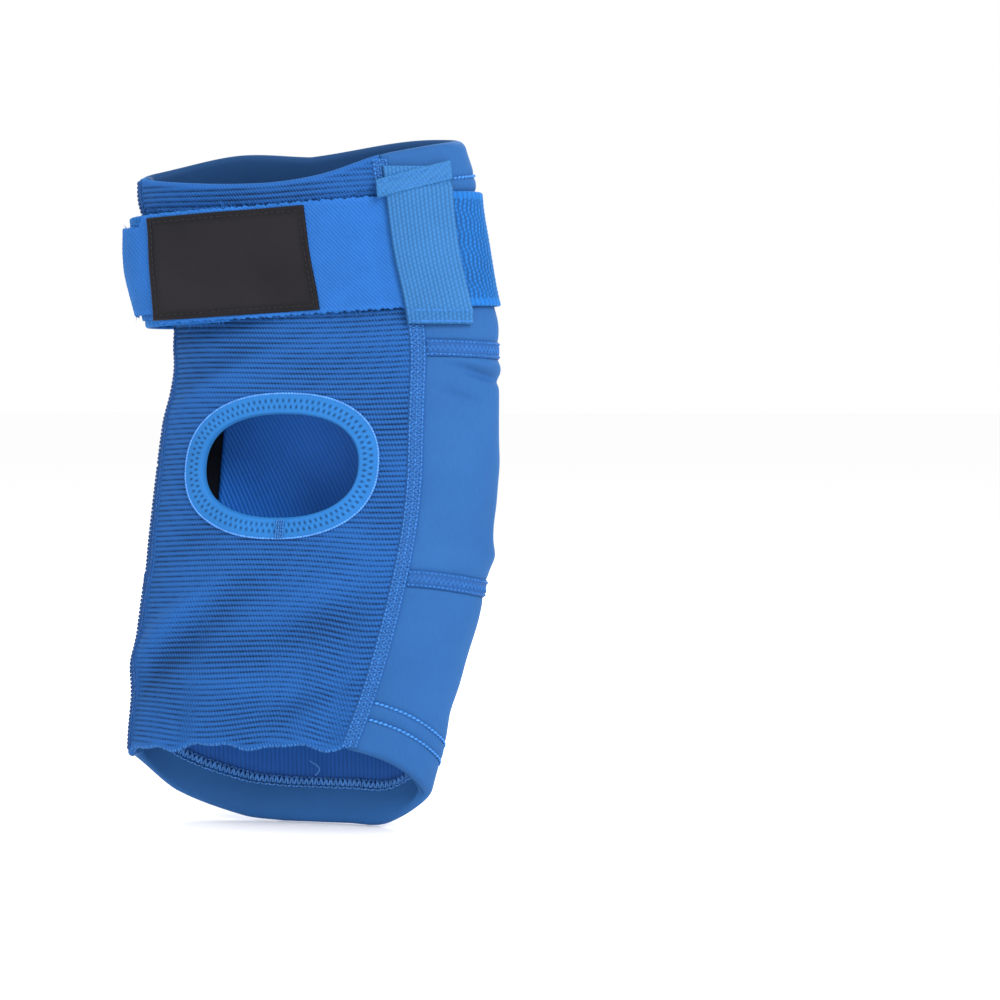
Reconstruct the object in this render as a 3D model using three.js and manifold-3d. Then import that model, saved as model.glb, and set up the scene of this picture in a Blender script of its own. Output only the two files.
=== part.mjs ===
// A padded elbow sleeve: a stretch tube of neoprene and ribbed knit with an oval foam pad over the
// elbow point, an oval opening over the elbow pit, and an elastic strap whose tab closes by hook and loop.
// Millimetres. +Z runs up the arm, the pad faces +Y and the knit faces -Y; the lower hem's low side is at z = 0.
import * as THREE from 'three';
import { mergeVertices } from 'three/addons/utils/BufferGeometryUtils.js';
import Module from 'manifold-3d';

const wasm = await Module();
wasm.setup();

// ---- driving dimensions ------------------------------------------------------------------------
const LENGTH = 242; // hem to hem at its longest
const HALF_WIDTH = [[0, 54], [45, 59.6], [95, 63], [134, 61.3], [173, 57.4], [205, 60.5], [250, 58.6]];
const HALF_DEPTH = [[0, 19], [60, 19.5], [130, 21], [190, 18.5], [250, 19.5]];
const CENTRE_X = [[0, -13], [45, -6.8], [95, 1.5], [134, 5.2], [173, 9.6], [205, 3.4], [250, -2]];
const CENTRE_Y = [[0, -7], [65, -2], [130, 0], [190, -4], [250, -14]];
const SHIFT = { x: -1.1, y: -0.55 }; // sets the whole part's bounding box centrally over the origin
const SQUARENESS = 2.4; // superellipse exponent of the sleeve's section
const PAD_SIDE_FLARE = 0.13; // how much wider the section is on the pad side

const NEOPRENE = 3.5;
const KNIT = 2.2;
const GAP = 0.3; // clearance between pieces that meet edge to edge
const LIFT = 0.7; // clearance between layers that lie on each other round a curve
const SEAM_WIDTH = 6;
const SEAM_HEIGHT = 0.7;
const LOWER_SEAM = { z: 87, fall: 6 }; // height on the knit side, and how far it falls to the pad side
const UPPER_SEAM = { z: 166.5, fall: 1.5 };
const SEAM_FALL = { from: 38, to: 90 };
const RIGHT_SEAM = [[20, 28], [50, 34.5], [85, 38], [125, 40], [165, 36.5], [242, 35]];
const LEFT_SEAM_S = -62;
const HEM_DEPTH = 14;
const HEM_LAYER = 1.5;
// Heights of the two ends' edges, by degrees round the sleeve from the middle of the knit side.
const TOP_EDGE = [[-180, 237.5], [-143, 238.5], [-99, 232], [-59, 227.5], [-12, 226], [18, 228.5], [53, 236],
  [118, 242], [180, 237.5]];
const BOTTOM_EDGE = [[-180, 0], [-157, 1.5], [-121, 9.5], [-94, 22.5], [-45, 29], [30, 31], [60, 26], [91, 14],
  [121, 1.2], [144, 0.2], [180, 0]];

const STRAP_WIDTH = 38;
const STRAP_Z = 200;
const STRAP_SLOPE = 0.06;
const LEAN = 0.086; // how far the tab's and the label's ends lean, along s for each millimetre up
const WEBBING = 1.7;
const STRAP_LIFT = 2; // strap's inner face, clear of the side seams
const STAND_OFF = { s: -64, reach: 24, low: 182, high: 214, most: 5 }; // strap stands off the sleeve's left side
const FOLD_S = 30.5; // where the tab folds away from the sleeve
const BAND_END_S = -30;
const TAB_END_S = -62;
const PATCH = 0.7; // thickness of the hook and of the loop patch
const STACK = 4.7; // how far the tab rises to lie on the patches
const LABEL = { from: -51.5, to: 5.2, height: 35, thickness: 0.8 };

const KEEPER = { s: 45.2, width: 21.5, low: 178, high: 231, slant: 0.05, thickness: 1.5, bartack: 6, inset: 0.5 };
const KEEPER_STEP = { from: 0.8, to: 4.5 }; // past the strap's edges, where the keeper comes down to the sleeve
const PAD = { z: 116, halfWidth: 50, halfHeight: 60, foam: 11, cover: 1.2, border: 3, squareness: 2.4 };
const LINING = { z: 127, halfWidth: 45, halfHeight: 38, thickness: 0.8, squareness: 2.4 };
const COVER_CLEARANCE = 2 * LIFT; // space that the cover keeps over the foam
const BORDER_HEIGHT = 1;
const BINDING_HEIGHT = 1.2;
const PIT = { s: -9, z: 128.5, halfWidth: 29, halfHeight: 18, binding: 7.5, squareness: 2.3 };

// ---- the sleeve's surface ----------------------------------------------------------------------
// Smooth curve through [z, value] pairs.
function along(pairs, z) {
  const last = pairs.length - 1;
  const slope = (i) => {
    const a = pairs[Math.max(i - 1, 0)];
    const b = pairs[Math.min(i + 1, last)];
    return (b[1] - a[1]) / (b[0] - a[0]);
  };
  const found = pairs.findIndex((pair) => pair[0] >= z);
  const i = THREE.MathUtils.clamp(found < 0 ? last - 1 : found - 1, 0, last - 1);
  const [z0, v0] = pairs[i];
  const [z1, v1] = pairs[i + 1];
  const h = z1 - z0;
  const t = (z - z0) / h;
  return (2 * t ** 3 - 3 * t ** 2 + 1) * v0 + (t ** 3 - 2 * t ** 2 + t) * h * slope(i)
    + (3 * t ** 2 - 2 * t ** 3) * v1 + (t ** 3 - t ** 2) * h * slope(i + 1);
}

// Half of the section at height z, from the front centre to the back centre, with its arc lengths.
const SECTION_STEPS = 240;
const sections = new Map();
function section(z) {
  const key = Math.round(z * 1000);
  if (!sections.has(key)) {
    const power = 2 / SQUARENESS;
    const halfWidth = along(HALF_WIDTH, z);
    const halfDepth = along(HALF_DEPTH, z);
    const points = [];
    const lengths = [0];
    for (let i = 0; i <= SECTION_STEPS; i += 1) {
      const angle = Math.PI * (i / SECTION_STEPS - 0.5);
      const back = Math.sign(Math.sin(angle)) * Math.abs(Math.sin(angle)) ** power;
      const side = Math.abs(Math.cos(angle)) ** power * (1 + PAD_SIDE_FLARE * back);
      points.push(new THREE.Vector2(halfWidth * side, halfDepth * back));
      if (i > 0) lengths.push(lengths[i - 1] + points[i].distanceTo(points[i - 1]));
    }
    sections.set(key, { points, lengths, half: lengths[SECTION_STEPS] });
  }
  return sections.get(key);
}

function halfGirth(z) {
  return section(z).half;
}

// Point of the section at arc length s from the front centre (+s towards +X), before the centre shift.
function onSection(s, z) {
  const { points, lengths, half } = section(z);
  const wrapped = s > half ? s - 2 * half : s < -half ? s + 2 * half : s;
  const reach = Math.min(Math.abs(wrapped), half);
  let low = 0;
  let high = SECTION_STEPS;
  while (high - low > 1) {
    const middle = (low + high) >> 1;
    if (lengths[middle] <= reach) low = middle;
    else high = middle;
  }
  const share = (reach - lengths[low]) / (lengths[high] - lengths[low]);
  const point = points[low].clone().lerp(points[high], share);
  if (wrapped < 0) point.x *= -1;
  return point;
}

// Point at arc length s, height z and distance w outside the sleeve's outer face.
const NORMAL_STEP = 1.5;
function onSleeve(s, z, w) {
  const point = onSection(s, z);
  const ahead = onSection(s + NORMAL_STEP, z);
  const behind = onSection(s - NORMAL_STEP, z);
  const tangent = ahead.sub(behind).normalize();
  return new THREE.Vector3(
    point.x + w * tangent.y + along(CENTRE_X, z) + SHIFT.x,
    point.y - w * tangent.x + along(CENTRE_Y, z) + SHIFT.y,
    z,
  );
}

// ---- lines on the sleeve -----------------------------------------------------------------------
const { smoothstep, lerp } = THREE.MathUtils;

function fromFront(s, z) {
  const half = halfGirth(z);
  return s > half ? s - 2 * half : s;
}

function edgeHeight(pairs) {
  return (s, z) => along(pairs, 180 * fromFront(s, z) / halfGirth(z));
}

const topEdge = edgeHeight(TOP_EDGE);
const bottomEdge = edgeHeight(BOTTOM_EDGE);

function rightSeam(z) {
  return along(RIGHT_SEAM, z);
}

function leftSeam() {
  return LEFT_SEAM_S;
}

function crossSeam({ z: height, fall }) {
  return (s, z) => height - fall * smoothstep(Math.abs(fromFront(s, z)), SEAM_FALL.from, SEAM_FALL.to);
}

const lowerSeam = crossSeam(LOWER_SEAM);
const upperSeam = crossSeam(UPPER_SEAM);

function strapLine(s, z) {
  return STRAP_Z + STRAP_SLOPE * onSection(s, z).x;
}

function roundedHalfWidth(shape, z) {
  const height = Math.min(Math.abs(z - shape.z) / shape.halfHeight, 1);
  return shape.halfWidth * (1 - height ** shape.squareness) ** (1 / shape.squareness);
}

// ---- solids ------------------------------------------------------------------------------------
// Moves every vertex of a closed geometry through place(x, y, z) and joins the shared vertices.
function warp(geometry, place) {
  const shape = geometry.index ? geometry.clone() : mergeVertices(geometry);
  const position = shape.getAttribute('position');
  for (let i = 0; i < position.count; i += 1) {
    const moved = place(position.getX(i), position.getY(i), position.getZ(i));
    position.setXYZ(i, moved.x, moved.y, moved.z);
  }
  return joined(shape);
}

function joined(geometry) {
  geometry.deleteAttribute('normal');
  geometry.deleteAttribute('uv');
  const merged = mergeVertices(geometry, 1e-4);
  merged.computeVertexNormals();
  return merged;
}

// Slab that follows the sleeve between two lines around it, two heights and two depths.
// from and to give s at a height; low and high give z at (s, z); inner and outer give w at (s, z).
const SETTLE_STEPS = 4;
function slab({ from, to, low, high, inner, outer, around, up }) {
  const box = new THREE.BoxGeometry(1, 1, 1, around, up, 1);
  return warp(box, (x, y, depth) => {
    const u = x + 0.5;
    const v = y + 0.5;
    let z = LENGTH / 2;
    let s = 0;
    for (let i = 0; i < SETTLE_STEPS; i += 1) {
      s = lerp(from(z), to(z), u);
      z = lerp(low(s, z), high(s, z), v);
    }
    s = lerp(from(z), to(z), u);
    return onSleeve(s, z, depth < 0 ? inner(s, z) : outer(s, z));
  });
}

// Revolved profile of [radius share, w] points, stretched to the outline of a rounded shape.
function rounded(shape, profile, around, grow = 0) {
  const lathe = new THREE.LatheGeometry(profile.map(([r, w]) => new THREE.Vector2(r, w)), around);
  const power = 2 / shape.squareness;
  return warp(lathe, (x, w, y) => {
    const radius = Math.hypot(x, y);
    const angle = Math.atan2(-y, x);
    const across = Math.sign(Math.cos(angle)) * Math.abs(Math.cos(angle)) ** power;
    const upward = Math.sign(Math.sin(angle)) * Math.abs(Math.sin(angle)) ** power;
    const z = shape.z + radius * (shape.halfHeight + grow) * upward;
    return onSleeve(shape.s(z) + radius * (shape.halfWidth + grow) * across, z, w);
  });
}

function manifold(geometry) {
  return new wasm.Manifold(new wasm.Mesh({
    numProp: 3,
    vertProperties: new Float32Array(geometry.getAttribute('position').array),
    triVerts: new Uint32Array(geometry.index.array),
  }));
}

function cut(body, tool) {
  const mesh = manifold(body).subtract(manifold(tool)).getMesh();
  const geometry = new THREE.BufferGeometry();
  geometry.setAttribute('position', new THREE.BufferAttribute(new Float32Array(mesh.vertProperties), 3));
  geometry.setIndex(new THREE.BufferAttribute(new Uint32Array(mesh.triVerts), 1));
  geometry.computeVertexNormals();
  return geometry;
}

// ---- colours and the group ---------------------------------------------------------------------
const COLOURS = {
  neoprene: [0x3b74c4, 0.85],
  knit: [0x1f59b5, 0.95],
  lining: [0x16336e, 0.9],
  thread: [0x3f86d8, 0.8],
  elastic: [0x2f80d0, 0.85],
  tab: [0x3a7fe0, 0.9],
  keeper: [0x4e93da, 0.85],
  binding: [0x3f92dd, 0.85],
  label: [0x2f2f33, 0.7],
  foam: [0x2a2a2c, 0.95],
};

const sleeve = new THREE.Group();
function add(name, colour, geometry) {
  const [color, roughness] = COLOURS[colour];
  const mesh = new THREE.Mesh(geometry, new THREE.MeshStandardMaterial({ color, roughness, metalness: 0 }));
  mesh.name = name;
  sleeve.add(mesh);
}

// Faces round and up the pieces.
const NEOPRENE_AROUND = 44;
const PAD_AROUND = 36;
const PIT_AROUND = 40;
const PANEL_UP = 6;

// ---- panels ------------------------------------------------------------------------------------
const flat = (value) => () => value;
const neopreneFrom = (z) => rightSeam(z) + GAP / 2;
const neopreneTo = (z) => 2 * halfGirth(z) + leftSeam(z) - GAP / 2;
const knitFrom = (z) => leftSeam(z) + GAP / 2;
const knitTo = (z) => rightSeam(z) - GAP / 2;

const LEVELS = {
  forearm: [bottomEdge, (s, z) => lowerSeam(s, z) - GAP / 2],
  elbow: [(s, z) => lowerSeam(s, z) + GAP / 2, (s, z) => upperSeam(s, z) - GAP / 2],
  upper: [(s, z) => upperSeam(s, z) + GAP / 2, topEdge],
};

const pitCutter = rounded(
  { ...PIT, s: flat(PIT.s) },
  [[0, -2 * KNIT], [1, -2 * KNIT], [1, KNIT], [0, KNIT]],
  PIT_AROUND,
  PIT.binding / 2,
);

for (const [level, [low, high]] of Object.entries(LEVELS)) {
  add(`${level}_neoprene_panel`, 'neoprene', slab({
    from: neopreneFrom, to: neopreneTo, low, high, inner: flat(-NEOPRENE), outer: flat(0),
    around: NEOPRENE_AROUND, up: PANEL_UP,
  }));
  const knit = slab({
    from: knitFrom, to: knitTo, low, high, inner: flat(-KNIT), outer: flat(0), around: 14, up: PANEL_UP,
  });
  add(`${level}_knit_panel`, 'knit', level === 'elbow' ? cut(knit, pitCutter) : knit);
  for (const [side, line] of [['right', rightSeam], ['left', leftSeam]]) {
    add(`${level}_side_seam_${side}`, 'thread', slab({
      from: (z) => line(z) - SEAM_WIDTH / 2,
      to: (z) => line(z) + SEAM_WIDTH / 2,
      low: (s, z) => low(s, z) + GAP,
      high: (s, z) => high(s, z) - GAP,
      inner: flat(LIFT),
      outer: flat(LIFT + SEAM_HEIGHT),
      around: 3,
      up: PANEL_UP,
    }));
  }
}

// Turned-in hems on the inner face of the neoprene.
function hem(name, low, high) {
  add(name, 'neoprene', slab({
    from: neopreneFrom,
    to: neopreneTo,
    low,
    high,
    inner: flat(-NEOPRENE - LIFT - HEM_LAYER),
    outer: flat(-NEOPRENE - LIFT),
    around: NEOPRENE_AROUND,
    up: 1,
  }));
}
hem('forearm_hem_fold', (s, z) => bottomEdge(s, z) + GAP, (s, z) => bottomEdge(s, z) + HEM_DEPTH);
hem('upper_hem_fold', (s, z) => topEdge(s, z) - HEM_DEPTH, (s, z) => topEdge(s, z) - GAP);

// Flat seams over the joins between the neoprene panels, from each side seam to the pad's border. Each lies on
// the upper panel of its join.
const borderIn = 1 + GAP / PAD.halfWidth;
const borderOut = 1 + PAD.border / PAD.halfWidth;
const borderShape = { ...PAD, halfWidth: PAD.halfWidth * borderOut, halfHeight: PAD.halfHeight * borderOut };
const BORDER_AWAY = 1.5;
for (const [name, line] of [['lower', lowerSeam], ['upper', upperSeam]]) {
  const across = {
    low: (s, z) => line(s, z) + GAP / 2,
    high: (s, z) => line(s, z) + SEAM_WIDTH,
    inner: flat(LIFT),
    outer: flat(LIFT + SEAM_HEIGHT),
    around: 12,
    up: 1,
  };
  const padReach = (z) => roundedHalfWidth(borderShape, z) + BORDER_AWAY;
  const sideAway = SEAM_WIDTH / 2 + GAP;
  add(`${name}_cross_seam_right`, 'thread', slab({
    ...across, from: (z) => rightSeam(z) + sideAway, to: (z) => halfGirth(z) - padReach(z),
  }));
  add(`${name}_cross_seam_left`, 'thread', slab({
    ...across,
    from: (z) => halfGirth(z) + padReach(z),
    to: (z) => 2 * halfGirth(z) + leftSeam(z) - sideAway,
  }));
}

// ---- elbow pad and elbow-pit opening -----------------------------------------------------------
const padShape = { ...PAD, s: halfGirth };
const FOAM_BASE = 2 * LIFT;
const DOME = [[1, 0], [0.985, 0.35], [0.93, 0.62], [0.82, 0.82], [0.6, 0.95], [0.3, 1], [0, 1]];
const SPOKES = [0, 0.25, 0.5, 0.75];
const disc = (w) => SPOKES.map((r) => [r, w]);
const dome = (base, height, shrink = 1) => DOME.map(([r, share]) => [r * shrink, base + height * share]);
const FOAM_SHRINK = 0.96;
const COVER_SHRINK = 0.97;

add('foam_pad', 'foam', rounded(
  padShape,
  [...disc(FOAM_BASE), ...dome(FOAM_BASE, PAD.foam, FOAM_SHRINK)],
  PAD_AROUND,
));
const coverBase = LIFT;
const coverInside = dome(coverBase, PAD.foam + COVER_CLEARANCE, COVER_SHRINK).reverse();
add('pad_cover', 'neoprene', rounded(
  padShape,
  [...coverInside, ...dome(coverBase, PAD.foam + COVER_CLEARANCE + PAD.cover)],
  PAD_AROUND,
));
add('pad_border_seam', 'thread', rounded(
  padShape,
  [[borderIn, LIFT], [borderOut, LIFT], [borderOut, LIFT + BORDER_HEIGHT], [borderIn, LIFT + BORDER_HEIGHT],
    [borderIn, LIFT]],
  PAD_AROUND,
));
const liningBase = -NEOPRENE - LIFT;
add('pad_lining', 'lining', rounded(
  { ...LINING, s: halfGirth },
  [...disc(liningBase - LINING.thickness), [1, liningBase - LINING.thickness], [1, liningBase],
    ...disc(liningBase).reverse()],
  PAD_AROUND,
));

const pitShape = { ...PIT, s: flat(PIT.s) };
const bindingOut = 1 + PIT.binding / PIT.halfHeight;
const bindingIn = 1 + (PIT.binding / 2 - GAP) / PIT.halfWidth;
add('pit_opening_binding', 'binding', rounded(
  pitShape,
  [[1, -KNIT], [bindingIn, -KNIT], [bindingIn, LIFT], [bindingOut, LIFT], [bindingOut, LIFT + BINDING_HEIGHT],
    [1, LIFT + BINDING_HEIGHT], [1, -KNIT]],
  PIT_AROUND,
));

// ---- strap -------------------------------------------------------------------------------------
const strapBand = (halfHeight) => ({
  low: (s, z) => strapLine(s, z) - halfHeight,
  high: (s, z) => strapLine(s, z) + halfHeight,
});
const leaned = (s) => (z) => s + LEAN * (z - STRAP_Z);
const standOff = (s, z) => STAND_OFF.most * Math.exp(-(((fromFront(s, z) - STAND_OFF.s) / STAND_OFF.reach) ** 2))
  * (1 - smoothstep(z, STAND_OFF.low, STAND_OFF.high));
const layer = (base, thickness) => ({
  inner: (s, z) => base(s) + standOff(s, z),
  outer: (s, z) => base(s) + standOff(s, z) + thickness,
});
add('strap_elastic', 'elastic', slab({
  ...strapBand(STRAP_WIDTH / 2),
  ...layer(flat(STRAP_LIFT), WEBBING),
  from: flat(FOLD_S + 2 * GAP),
  to: (z) => 2 * halfGirth(z) + leaned(BAND_END_S)(z),
  around: NEOPRENE_AROUND,
  up: 2,
}));

const loopBase = STRAP_LIFT + WEBBING + LIFT;
const hookBase = loopBase + PATCH + GAP;
const patchBand = strapBand(STRAP_WIDTH / 2 - 2);
add('strap_loop_patch', 'tab', slab({
  ...patchBand, ...layer(flat(loopBase), PATCH), from: leaned(TAB_END_S - 2), to: leaned(BAND_END_S - 1), around: 8,
  up: 2,
}));
add('tab_hook_patch', 'tab', slab({
  ...patchBand, ...layer(flat(hookBase), PATCH), from: leaned(TAB_END_S + 1), to: leaned(BAND_END_S - 2), around: 8,
  up: 2,
}));

const RAMP = { low: 29, high: 10 };
const tabInner = (s) => STRAP_LIFT + STACK * smoothstep(-s, RAMP.high, RAMP.low);
add('strap_tab', 'tab', slab({
  ...strapBand(STRAP_WIDTH / 2), ...layer(tabInner, WEBBING), from: leaned(TAB_END_S), to: flat(FOLD_S), around: 24,
  up: 2,
}));
add('tab_label', 'label', slab({
  ...strapBand(LABEL.height / 2), ...layer((s) => tabInner(s) + WEBBING + GAP, LABEL.thickness),
  from: leaned(LABEL.from), to: leaned(LABEL.to), around: 16, up: 2,
}));

// ---- keeper loop -------------------------------------------------------------------------------
const keeperLine = (z) => KEEPER.s + KEEPER.slant * (z - STRAP_Z);
const keeperOver = STRAP_LIFT + WEBBING + LIFT;
const keeperBridge = keeperOver - STRAP_LIFT;
const keeperLift = (s, z) => {
  const away = Math.abs(z - strapLine(s, z)) - STRAP_WIDTH / 2;
  return STRAP_LIFT + keeperBridge * (1 - smoothstep(away, KEEPER_STEP.from, KEEPER_STEP.to));
};
add('keeper_loop', 'keeper', slab({
  from: (z) => keeperLine(z) - KEEPER.width / 2,
  to: (z) => keeperLine(z) + KEEPER.width / 2,
  low: flat(KEEPER.low),
  high: flat(KEEPER.high),
  inner: keeperLift,
  outer: (s, z) => keeperLift(s, z) + KEEPER.thickness,
  around: 4,
  up: 30,
}));
for (const [end, low] of [
  ['bottom', KEEPER.low + KEEPER.inset],
  ['top', KEEPER.high - KEEPER.bartack - KEEPER.inset],
]) {
  add(`keeper_${end}_bartack`, 'thread', slab({
    from: (z) => keeperLine(z) - KEEPER.width / 2 + 1,
    to: (z) => keeperLine(z) + KEEPER.width / 2 - 1,
    low: flat(low),
    high: flat(low + (end === 'top' ? KEEPER.bartack : KEEPER.bartack / 2)),
    inner: (s, z) => keeperLift(s, z) + KEEPER.thickness + GAP,
    outer: (s, z) => keeperLift(s, z) + KEEPER.thickness + GAP + SEAM_HEIGHT,
    around: 4,
    up: 1,
  }));
}

export default sleeve;
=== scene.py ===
"""Elbow pad: the fine model of a padded elbow sleeve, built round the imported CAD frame.

Everything that lies on the sleeve is placed by s, the arc length round it from the middle of the knit side
(+s towards +X), by the height z, and by w, the distance outside the sleeve's outer face, all in millimetres.
"""
import math

import bmesh
import bpy
import numpy as np
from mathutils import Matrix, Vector
from mathutils.bvhtree import BVHTree


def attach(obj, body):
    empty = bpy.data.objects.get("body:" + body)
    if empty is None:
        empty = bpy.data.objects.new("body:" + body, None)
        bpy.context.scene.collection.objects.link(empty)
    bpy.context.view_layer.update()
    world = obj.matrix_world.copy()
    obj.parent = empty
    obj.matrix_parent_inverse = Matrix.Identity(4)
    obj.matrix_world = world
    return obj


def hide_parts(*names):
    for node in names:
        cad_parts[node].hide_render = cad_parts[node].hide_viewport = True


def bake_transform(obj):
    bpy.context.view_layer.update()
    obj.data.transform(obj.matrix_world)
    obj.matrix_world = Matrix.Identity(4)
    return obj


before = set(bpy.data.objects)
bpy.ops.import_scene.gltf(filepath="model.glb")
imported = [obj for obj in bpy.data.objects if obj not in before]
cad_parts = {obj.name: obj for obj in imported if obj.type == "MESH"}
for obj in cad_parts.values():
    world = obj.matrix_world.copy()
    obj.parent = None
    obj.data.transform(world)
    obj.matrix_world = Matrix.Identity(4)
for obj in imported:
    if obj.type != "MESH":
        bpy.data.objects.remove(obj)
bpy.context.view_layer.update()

MM = 0.001
UV_UNIT = 100  # millimetres of fabric to one unit of UV
RANDOM = np.random.default_rng(11)

# ---- driving dimensions, in millimetres, the same as the CAD's ----
LENGTH = 242
HALF_WIDTH = [(0, 54), (45, 59.6), (95, 63), (134, 61.3), (173, 57.4), (205, 60.5), (250, 58.6)]
HALF_DEPTH = [(0, 19), (60, 19.5), (130, 21), (190, 18.5), (250, 19.5)]
CENTRE_X = [(0, -13), (45, -6.8), (95, 1.5), (134, 5.2), (173, 9.6), (205, 3.4), (250, -2)]
CENTRE_Y = [(0, -7), (65, -2), (130, 0), (190, -4), (250, -14)]
SHIFT_X, SHIFT_Y = -1.1, -0.55
SQUARENESS = 2.4
PAD_SIDE_FLARE = 0.13
NEOPRENE, KNIT = 3.5, 2.2
TOP_EDGE = [(-180, 237.5), (-143, 238.5), (-99, 232), (-59, 227.5), (-12, 226), (18, 228.5), (53, 236),
            (118, 242), (180, 237.5)]
BOTTOM_EDGE = [(-180, 0), (-157, 1.5), (-121, 9.5), (-94, 22.5), (-45, 29), (30, 31), (60, 26), (91, 14),
               (121, 1.2), (144, 0.2), (180, 0)]
HEM_DEPTH, HEM_LAYER = 14, 1.8
LOWER_SEAM = {"z": 87, "fall": 6}
UPPER_SEAM = {"z": 166.5, "fall": 1.5}
RIGHT_SEAM = [(20, 28), (50, 34.5), (85, 38), (125, 40), (165, 36.5), (242, 35)]
LEFT_SEAM_S = -62
SEAM_WIDTH = 6
STRAP_Z, STRAP_SLOPE, STRAP_WIDTH, LEAN = 200, 0.06, 39, 0.086
SPLIT_Z = 128.5
PAD = {"z": 116, "half_width": 50, "half_height": 60, "squareness": 2.4}
PIT = {"z": 128.5, "half_width": 29, "half_height": 18, "squareness": 2.3}
PIT_S, PIT_BINDING = -9, 7.5

# ---- the sleeve's surface ----
SECTION_STEPS, ARC_STEPS = 400, 480
TABLE_LOW, TABLE_HIGH = -12, 262


def smoothstep(x, low, high):
    t = np.clip((np.asarray(x, float) - low) / (high - low), 0, 1)
    return t * t * (3 - 2 * t)


def bump(x, width):
    return np.exp(-((np.asarray(x, float) / width) ** 2))


def along(pairs, z):
    """Smooth curve through (z, value) pairs."""
    knots, values = np.array(pairs, float).T
    ahead = np.minimum(np.arange(len(knots)) + 1, len(knots) - 1)
    behind = np.maximum(np.arange(len(knots)) - 1, 0)
    slopes = (values[ahead] - values[behind]) / (knots[ahead] - knots[behind])
    z = np.asarray(z, float)
    i = np.clip(np.searchsorted(knots, z) - 1, 0, len(knots) - 2)
    h = knots[i + 1] - knots[i]
    t = (z - knots[i]) / h
    start = (2 * t**3 - 3 * t**2 + 1) * values[i] + (t**3 - 2 * t**2 + t) * h * slopes[i]
    return start + (3 * t**2 - 2 * t**3) * values[i + 1] + (t**3 - t**2) * h * slopes[i + 1]


def section_table():
    """Half sections at every millimetre of height, at even shares of their arc length."""
    heights = np.arange(TABLE_LOW, TABLE_HIGH + 1, dtype=float)
    angle = np.linspace(-math.pi / 2, math.pi / 2, SECTION_STEPS + 1)
    power = 2 / SQUARENESS
    back = np.sign(np.sin(angle)) * np.abs(np.sin(angle)) ** power
    side = np.abs(np.cos(angle)) ** power * (1 + PAD_SIDE_FLARE * back)
    shares = np.linspace(0, 1, ARC_STEPS + 1)
    xs, ys, halves = [], [], []
    for width, depth in zip(along(HALF_WIDTH, heights), along(HALF_DEPTH, heights)):
        x, y = width * side, depth * back
        arc = np.concatenate([[0], np.cumsum(np.hypot(np.diff(x), np.diff(y)))])
        xs.append(np.interp(shares, arc / arc[-1], x))
        ys.append(np.interp(shares, arc / arc[-1], y))
        halves.append(arc[-1])
    return heights, np.array(xs), np.array(ys), np.array(halves)


HEIGHTS, TABLE_X, TABLE_Y, HALVES = section_table()


def half_girth(z):
    return np.interp(z, HEIGHTS, HALVES)


def from_front(s, z):
    """s measured the short way from the middle of the knit side."""
    half = half_girth(z)
    return (np.asarray(s, float) + half) % (2 * half) - half


def section_point(s, z):
    s, z = np.broadcast_arrays(np.asarray(s, float), np.asarray(z, float))
    side = from_front(s, z)
    share = np.abs(side) / half_girth(z) * ARC_STEPS
    row = np.clip(z - TABLE_LOW, 0, len(HEIGHTS) - 1.001)
    i, j = row.astype(int), np.clip(share.astype(int), 0, ARC_STEPS - 1)
    a, b = row - i, share - j

    def read(table):
        low = table[i, j] * (1 - b) + table[i, j + 1] * b
        high = table[i + 1, j] * (1 - b) + table[i + 1, j + 1] * b
        return low * (1 - a) + high * a

    return np.sign(side) * read(TABLE_X), read(TABLE_Y)


def strap_line(s, z):
    return STRAP_Z + STRAP_SLOPE * section_point(s, z)[0]


def cross_seam(seam):
    return lambda s, z: seam["z"] - seam["fall"] * smoothstep(np.abs(from_front(s, z)), 38, 90)


lower_seam, upper_seam = cross_seam(LOWER_SEAM), cross_seam(UPPER_SEAM)


def edge_height(pairs):
    """Height of an end's edge at s and z, from heights by degrees round the sleeve."""
    return lambda s, z: along(pairs, 180 * from_front(s, z) / half_girth(z))


top_edge, bottom_edge = edge_height(TOP_EDGE), edge_height(BOTTOM_EDGE)


def right_seam(z):
    return along(RIGHT_SEAM, z)


def left_seam(z):
    return LEFT_SEAM_S + 0 * np.asarray(z, float)


def fold(s, z, s0, z0, rise, width, reach, height):
    """A soft ridge along the line through (s0, z0) that climbs rise for each millimetre round the sleeve."""
    along_fold = (s - s0) + (z - z0) * rise
    across = (z - z0 - rise * (s - s0)) / math.hypot(1, rise)
    return height * bump(across, width) * bump(along_fold / math.hypot(1, rise), reach)


FOLD_DEPTH = 2.1
FRONT_FOLDS = [(-46, 72, 0.9, 5, 24, 1.5), (-40, 62, 0.9, 5, 22, -1.0), (10, 84, 0.45, 7, 26, 1.1),
               (4, 70, 0.4, 7, 24, -0.9), (-20, 52, -0.1, 5, 22, 0.7), (12, 46, 0.55, 4, 16, -0.9),
               (20, 52, 0.5, 4, 14, 0.7), (-38, 158, 0.55, 5, 22, 1.0), (-30, 166, 0.4, 4, 20, -0.8),
               (8, 170, 0.1, 4, 24, 0.7), (-44, 100, 0.5, 6, 18, -0.7), (24, 100, -0.4, 6, 16, 0.6)]
SIDE_FOLDS = [(62, 160, -0.22, 1.6, 11, -1.0), (60, 164, -0.2, 2.6, 12, 0.8), (54, 152, -0.3, 1.8, 9, -0.5),
              (56, 128, 0.05, 7, 18, 0.8), (62, 104, 0.3, 6, 16, -0.6), (70, 96, 0.1, 4, 14, 0.7),
              (58, 70, 0.3, 8, 22, 0.5), (66, 44, -0.4, 6, 16, -0.5)]


def folds(s, z):
    side = from_front(s, z)
    return FOLD_DEPTH * sum(fold(side, z, *line) for line in FRONT_FOLDS + SIDE_FOLDS)


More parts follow.
